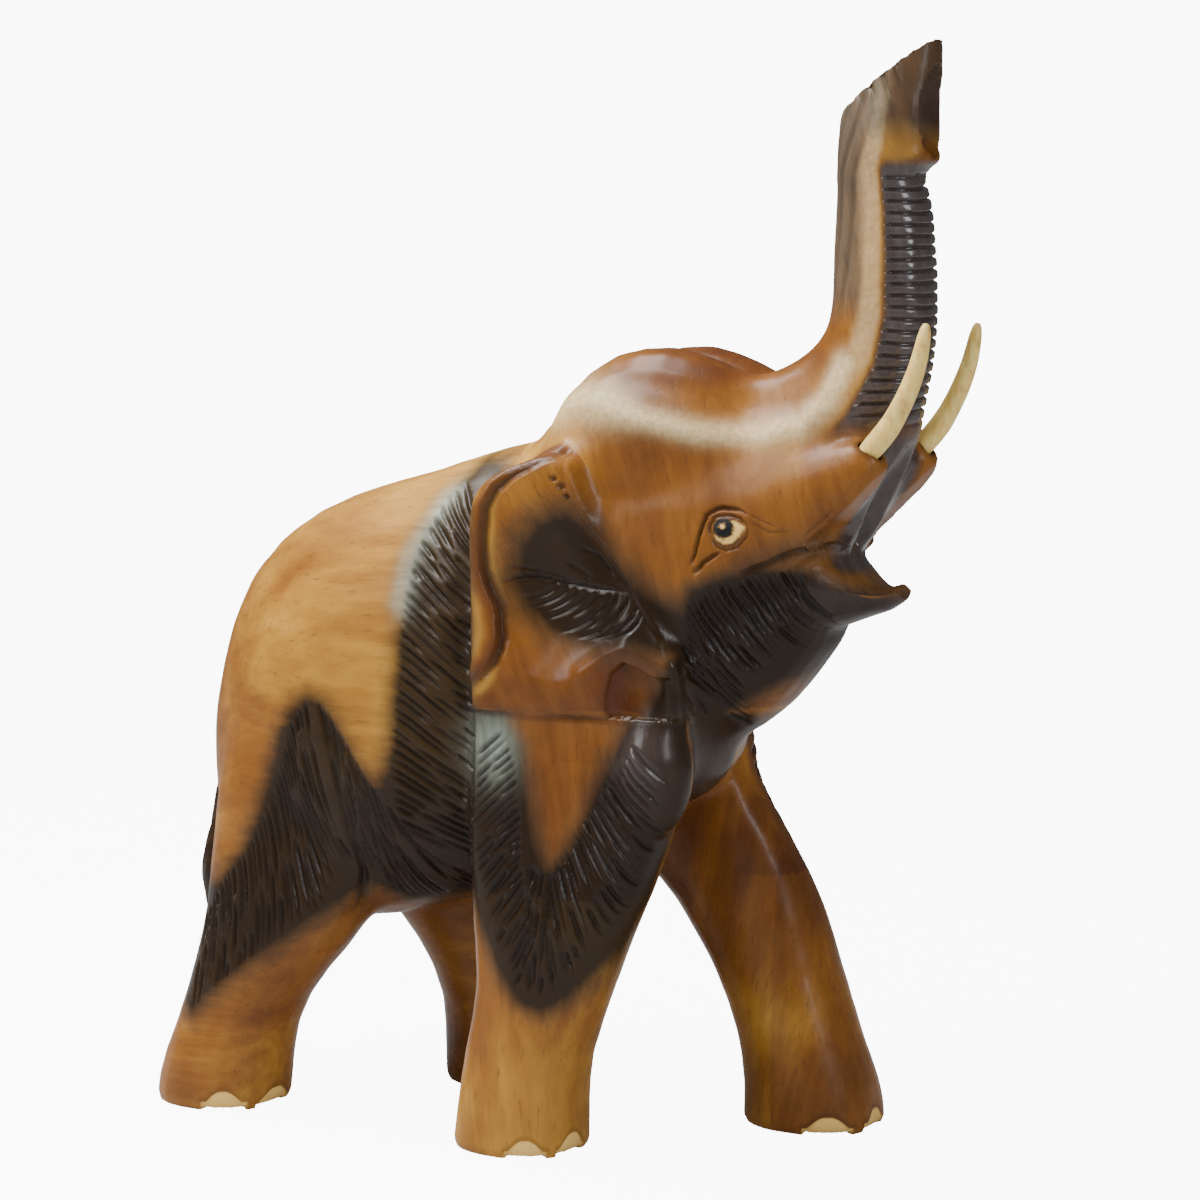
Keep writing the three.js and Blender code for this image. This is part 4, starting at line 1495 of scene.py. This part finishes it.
@dataclass
class Carving:
    """The glued wooden figure without its tusks."""

    blank: Blank = field(default_factory=Blank)
    torso: TorsoBlock = field(default_factory=TorsoBlock)
    head: HeadBlock = field(default_factory=HeadBlock)
    ear: EarSlab = field(default_factory=EarSlab)
    foreleg: ForelegBlock = field(default_factory=ForelegBlock)
    feet: Feet = field(default_factory=Feet)
    sheet_step: float = 0.3
    seeds: dict[Side, int] = field(default_factory=lambda: {Side.RIGHT: 11, Side.LEFT: 23})

    def shape(self) -> None:
        """Makes the blank and refines it where it will be carved finely."""
        self.blank.rough_out()
        LOG.info("roughed out: %d points", len(self.blank.mesh.vertices))
        self.blank.blend_joints()
        self.blank.refine(self.carved_zone)
        self.blank.refine(self.fine_zone)
        spots, _ = self.blank.read()
        self.blank.soften(4, 1.0 - ease(7, 3, spots[:, 2]))
        LOG.info("refined: %d points", len(self.blank.mesh.vertices))

    def carved_zone(self, x: Array, y: Array, z: Array, outward: Array) -> Array:
        """Where hair strokes, wrinkles, ribs, nails and small shapes need a finer surface.

        Args:
            x: How far forward each face is.
            y: How far to the left.
            z: How high.
            outward: How squarely it looks away from the middle.

        Returns:
            True in the region.
        """
        wide = np.abs(y)
        out = outward > 0.05
        shoulder = (x > -42) & (x < -1) & (z > 92) & (z < 254)
        edge = np.interp(z, (36, 60, 92, 120, 150, 172), (-150, -142, -126, -108, -98, -86))
        hind_x = np.where(y > 0, x - HIND_LEG_PLACE.shift(z), x)
        thigh = (hind_x > edge) & (x < -36) & (z < 172) & (
            z > np.interp(hind_x, (-130, -105, -73, -50), (38, 56, 80, 86)))
        fore_x = np.where(y > 0, x - FORELEG_PLACE.shift(z), x)
        foreleg = (fore_x > -18) & (fore_x < 84) & (z > 58) & (z < 168) & (x > -16)
        throat = soft_patch(self.head.throat, x, z, 3.0) > 0.1
        muzzle = (x > 116) & (z > 200) & (z < 285)
        trunk = (x > 100) & (z > 270)
        ear = (z > 160) & (z < 270) & (x > -10) & (x < 82) & (wide > 26)
        eye = np.hypot(x - self.head.eye[0], z - self.head.eye[1]) < 26
        feet = (z < 11) & (z > 0.5)
        sided = out & (shoulder | thigh | foreleg | ear | eye)
        return sided | (throat & (x > 0)) | muzzle | trunk | feet

    def fine_zone(self, x: Array, y: Array, z: Array, outward: Array) -> Array:
        """Where the smallest lines are.

        Args:
            x: How far forward each face is.
            y: How far to the left; not used.
            z: How high.
            outward: How squarely it looks away from the middle.

        Returns:
            True in the region.
        """
        out = outward > 0.2
        eye = np.hypot(x - self.head.eye[0], z - self.head.eye[1]) < 18
        tip = (z > 364) & (x > 144)
        rim = line_distance(self.ear.rim.line, x, z) < 3
        ribs = (z > 278) & (z < 368) & (x > 138)
        nails = (z < 8.5) & (z > 0.6)
        return (out & (eye | rim)) | tip | ribs | nails

    def carve(self) -> Surface:
        """Cuts and stains everything.

        Returns:
            The finished surface.
        """
        surface = self.blank.surface()
        crafts = (self.torso, self.foreleg, self.ear, self.head)
        for side in Side:
            chance = random.Random(self.seeds[side])
            sheets = {}
            for craft in crafts:
                sheet = Relief((-175, 0), (165, 300), self.sheet_step)
                craft.carve(surface, side, sheet, chance)
                sheets[craft.__class__.__name__] = sheet
            self.apply(surface, side, sheets)
            for craft in crafts:
                craft.stain(surface, side)
        self.torso.tail(surface)
        self.head.trunk(surface)
        self.feet.carve(surface, random.Random(5))
        self.seams(surface)
        self.tone(surface)
        return surface

    def apply(self, surface: Surface, side: Side, sheets: dict[str, Relief]) -> None:
        """Sinks the side sheets' cuts into the parts of the surface that they belong to.

        Args:
            surface: The surface to cut.
            side: The side that the sheets are for.
            sheets: The cut sheets by class name.
        """
        x, z = pattern_x(surface, side), surface.z
        out = ease(0.12, 0.42, surface.outward(side))
        behind = ease(-2.0, -4.5, surface.x)
        leg = ease(-2.5, 0.5, surface.x + 0.35 * np.clip(110 - z, 0, 60)) * ease(168.5, 166.5, z)
        upper = ease(166.5, 169, z)
        wide = np.abs(surface.y)
        on_ear = np.interp(z, (167, 183, 197, 211, 222, 240, 251, 262),
                           (80, 77, 72, 62, 54, 41, 37, 34))
        ear = upper * ease(1.5, -1.5, surface.x - on_ear) * ease(-8, -5, surface.x)
        head = ease(-1.5, 1.5, surface.x - np.where(z > 167, on_ear, 70))
        leg = leg * ease(20, 30, wide) * ease(-24, -18, surface.x)
        shares = {"TorsoBlock": behind, "ForelegBlock": leg, "EarSlab": ear, "HeadBlock": head}
        for name, share in shares.items():
            at_x = x if name in ("TorsoBlock", "ForelegBlock") else surface.x
            depth = sheets[name].at(at_x, z) * share * out
            surface.lower(depth)
            # Each cut is darkened by its depth: painted shade in the grooves.
            surface.mark("cut", np.clip(depth / 1.4, 0, 1))

    def seams(self, surface: Surface) -> None:
        """Opens the glue lines that show.

        Args:
            surface: The surface to work.
        """
        x, z = surface.x, surface.z
        wide = np.abs(surface.y)
        level = bell(z - 167, 0.9) * ease(30, 45, wide) * ease(-8, -4, x) * ease(74, 58, x)
        patchy = 0.55 + 0.45 * np.sin(x * 0.17 + 1.0)
        surface.lower(0.8 * level * patchy)
        # The glue line darkened: its own dark plus painted shade in the opened groove.
        surface.mark("cut", level * patchy)
        upright = bell(x + 3.5, 1.0) * ease(30, 44, wide) * ease(262, 250, z) * ease(100, 112, z)
        surface.lower(0.9 * upright)
        # The upright glue line darkened: its own dark plus painted shade in the groove.
        surface.mark("cut", 0.8 * upright)

    def tone(self, surface: Surface) -> None:
        """Lays the ground colour: pale gold on the back with painted light on its top, redder
        towards ears and legs, with painted shade on the left legs.

        Args:
            surface: The surface to work.
        """
        x, z = surface.x, surface.z
        tone = np.full(len(x), 0.34)
        tone += 0.20 * ease(170, 110, z) - 0.20 * ease(90, 15, z)
        # The top of the back made paler: painted light from above, over the wood's own pale gold.
        tone -= 0.20 * ease(215, 258, z) * ease(10, -20, x)
        tone += 0.10 * ease(-120, -150, x)
        ear = ease(-9, -5, x) * ease(82, 60, x) * (np.abs(surface.y) > 34)
        tone += 0.30 * ear * ease(270, 170, z) * (z > 100)
        tone += 0.16 * ease(236, 200, z) * ease(60, 90, x) * (z > 100)
        tone += 0.30 * ease(283, 297, z - 0.08 * (x - 80)) * ease(140, 118, x)
        tone += 0.10 * ease(110, 135, x) * ease(262, 240, z)
        tone += 0.24 * ease(30, 60, x) * (z > 170)
        tone += 0.10 * ease(255, 225, z) * (x > 84)
        shank = 0.05 * ease(20, 60, z) * (z < 150) * (x > 30)
        tone += 0.20 * ease(-20, -40, x) * ease(110, 80, z) - shank
        tone += 0.12 * ear * (z > 165)
        # Darker on the left, the side away from the lamps: painted shade on the left foreleg and
        # the left feet.
        tone += 0.24 * (surface.y > 0) * ease(16, 30, x) * ease(40, 70, z) * (z < 165)
        tone += 0.12 * ease(60, 20, z) * (surface.y > 0)
        surface.marks["tone"] = np.clip(tone, 0, 1)

    def build(self) -> dict[Block, bpy.types.Object]:
        """Makes the carved blocks.

        Returns:
            The object of each block.
        """
        self.shape()
        surface = self.carve()
        for name in MARKS:
            surface.marks.setdefault(name, np.zeros(len(surface.spots)))
        self.blank.finish(surface)
        return self.blank.part()


WOODS: dict[Block, WoodFinish] = {
    Block.TORSO: WoodFinish("torso_gold", "torso_wood", (0.16, 1.0, 1.0)),
    Block.HEAD: WoodFinish("head_amber", "head_wood", (1.0, 1.0, 0.16), (0.0, 0.25, 0.0)),
    Block.RIGHT_EAR: WoodFinish("ear_chestnut", "ear_wood", (1.0, 1.0, 0.2),
                                (0.0, 0.5, 0.0), 0.32),
    Block.LEFT_EAR: WoodFinish("ear_chestnut_left", "ear_wood", (1.0, 1.0, 0.2),
                               (0.0, 0.5, 0.0), 0.32),
    Block.RIGHT_FORELEG: WoodFinish("leg_brown", "leg_wood", (1.0, 1.0, 0.16),
                                    (0.0, 0.1, 0.0), 0.34),
    Block.LEFT_FORELEG: WoodFinish("leg_brown_left", "leg_wood", (1.0, 1.0, 0.16),
                                   (0.0, -0.2, 0.0), 0.34),
}


@dataclass
class Tusk:
    """One push-in tusk, smoothed from its CAD piece."""

    side: Side
    rounding: int = 2
    slimming: float = 0.75
    bare: tuple[float, float] = (0.272, 0.280)

    def slim(self, work: bmesh.types.BMesh) -> None:
        """Scrapes the bare part of the tusk a little thinner than the CAD model's.

        Args:
            work: The tusk's mesh.
        """
        work.normal_update()
        for v in work.verts:
            bare = float(ease(*self.bare, np.array(v.co.z)))
            v.co -= v.normal * bare * self.slimming * MM

    def build(self, finish: bpy.types.Material) -> bpy.types.Object:
        """Makes the tusk and lets it ride on its own body.

        Args:
            finish: The tusk's material.

        Returns:
            The tusk.
        """
        node = self.side.name.lower() + "_tusk"
        work = bmesh.new()
        work.from_mesh(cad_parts[node].data)
        bmesh.ops.remove_doubles(work, verts=work.verts, dist=1e-6)
        self.slim(work)
        bmesh.ops.join_triangles(work, faces=work.faces, angle_face_threshold=0.7,
                                 angle_shape_threshold=1.2)
        data = bpy.data.meshes.new(node + "_smooth")
        work.to_mesh(data)
        work.free()
        data.shade_smooth()
        data.materials.append(finish)
        tusk = bpy.data.objects.new(node + "_carved", data)
        bpy.context.scene.collection.objects.link(tusk)
        rounding = tusk.modifiers.new("rounding", "SUBSURF")
        rounding.levels = rounding.render_levels = self.rounding
        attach(tusk, node)
        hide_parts(node)
        return tusk


@dataclass(frozen=True)
class Lamp:
    """One soft lamp of the studio."""

    name: str
    place: tuple[float, float, float]
    size: tuple[float, float]
    power: float
    colour: Colour = (1.0, 1.0, 1.0)

    def hang(self, aim: Vector) -> None:
        """Hangs the lamp, turned towards a point.

        Args:
            aim: The point.
        """
        data = bpy.data.lights.new(self.name, "AREA")
        data.shape = "RECTANGLE"
        data.size, data.size_y = self.size
        data.energy = self.power
        data.color = self.colour
        lamp = bpy.data.objects.new(self.name, data)
        lamp.location = self.place
        lamp.rotation_euler = (aim - Vector(self.place)).to_track_quat("-Z", "Y").to_euler()
        bpy.context.scene.collection.objects.link(lamp)


@dataclass
class Studio:
    """A pale floor, soft lamps and the camera."""

    camera_place: tuple[float, float, float] = (0.605, -1.0149, 0.320)
    azimuth: float = 30.0
    pitch: float = 5.6
    lens: float = 91.74
    floor_reach: float = 6.0
    floor_glow: float = 9.6
    lamps: tuple[Lamp, ...] = (
        Lamp("key", (-0.9, -1.6, 1.5), (0.9, 0.9), 25.0),
        Lamp("overhead", (-0.55, -0.25, 1.5), (1.0, 0.7), 46.0),
        Lamp("right", (1.6, -0.7, 0.9), (0.4, 0.9), 15.0, (0.90, 0.95, 1.0)),
    )
    sky: float = 0.12
    sky_seen: float = 10.0

    def build(self) -> None:
        """Sets up the floor, the lamps, the surroundings and the camera."""
        work = bmesh.new()
        bmesh.ops.create_circle(work, cap_ends=True, segments=64, radius=self.floor_reach)
        data = bpy.data.meshes.new("floor")
        work.to_mesh(data)
        work.free()
        floor = bpy.data.objects.new("floor", data)
        kit = NodeKit("floor_white")
        grit = kit.noise(kit.node("ShaderNodeTexCoord").outputs["Object"], 3.0, 2.0, 0.5, 0.0)
        shader = kit.shader(kit.ramp(grit, ((0.0, (0.44, 0.44, 0.44)), (1.0, (0.47, 0.47, 0.47)))),
                            0.9, grit, 0.0, 0.001)
        shader.inputs["Emission Color"].default_value = (1.0, 1.0, 1.0, 1.0)
        seen = kit.tree.nodes.new("ShaderNodeLightPath").outputs["Is Camera Ray"]
        kit.link(kit.fit(seen, 0.0, 1.0, 0.1, self.floor_glow), shader.inputs["Emission Strength"])
        data.materials.append(kit.material)
        bpy.context.scene.collection.objects.link(floor)
        low, high = CAD_BOX
        for lamp in self.lamps:
            lamp.hang((low + high) / 2)
        world = bpy.data.worlds.new("studio")
        bpy.context.scene.world = world
        world.use_nodes = True
        tree = world.node_tree
        back = tree.nodes["Background"]
        back.inputs["Color"].default_value = (1.0, 1.0, 1.0, 1.0)
        path = tree.nodes.new("ShaderNodeLightPath")
        bright = tree.nodes.new("ShaderNodeMapRange")
        bright.inputs["To Min"].default_value = self.sky
        bright.inputs["To Max"].default_value = self.sky_seen
        tree.links.new(path.outputs["Is Camera Ray"], bright.inputs["Value"])
        tree.links.new(bright.outputs["Result"], back.inputs["Strength"])
        turn, tip = math.radians(self.azimuth), math.radians(self.pitch)
        gaze = Vector((-math.sin(turn) * math.cos(tip), math.cos(turn) * math.cos(tip),
                       -math.sin(tip)))
        eye = bpy.data.cameras.new("camera")
        eye.lens, eye.sensor_width = self.lens, 36.0
        camera = bpy.data.objects.new("camera", eye)
        camera.location = self.camera_place
        camera.rotation_euler = gaze.to_track_quat("-Z", "Y").to_euler()
        bpy.context.scene.collection.objects.link(camera)
        bpy.context.scene.camera = camera


def main() -> None:
    """Builds the studio, the carving, the tusks and the dowels' finish, and logs each piece."""
    logging.basicConfig(level=logging.INFO, format="%(name)s: %(message)s")
    Studio().build()
    for block, piece in Carving().build().items():
        wood = WOODS[block]
        piece.data.materials.clear()
        piece.data.materials.append(wood.build())
        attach(piece, "carving")
        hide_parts(block.value)
        count = sum(len(p.vertices) - 2 for p in piece.data.polygons)
        LOG.info("%s: %d triangles", piece.name, count)
    cream = TuskFinish().build()
    for side in Side:
        LOG.info("%s made", Tusk(side).build(cream).name)
    dowel_wood = DowelFinish().build()
    for name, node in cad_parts.items():
        if "dowel" in name:
            node.data.materials.clear()
            node.data.materials.append(dowel_wood)
            LOG.info("%s keeps its CAD shape", name)


if __name__ == "__main__":
    main()
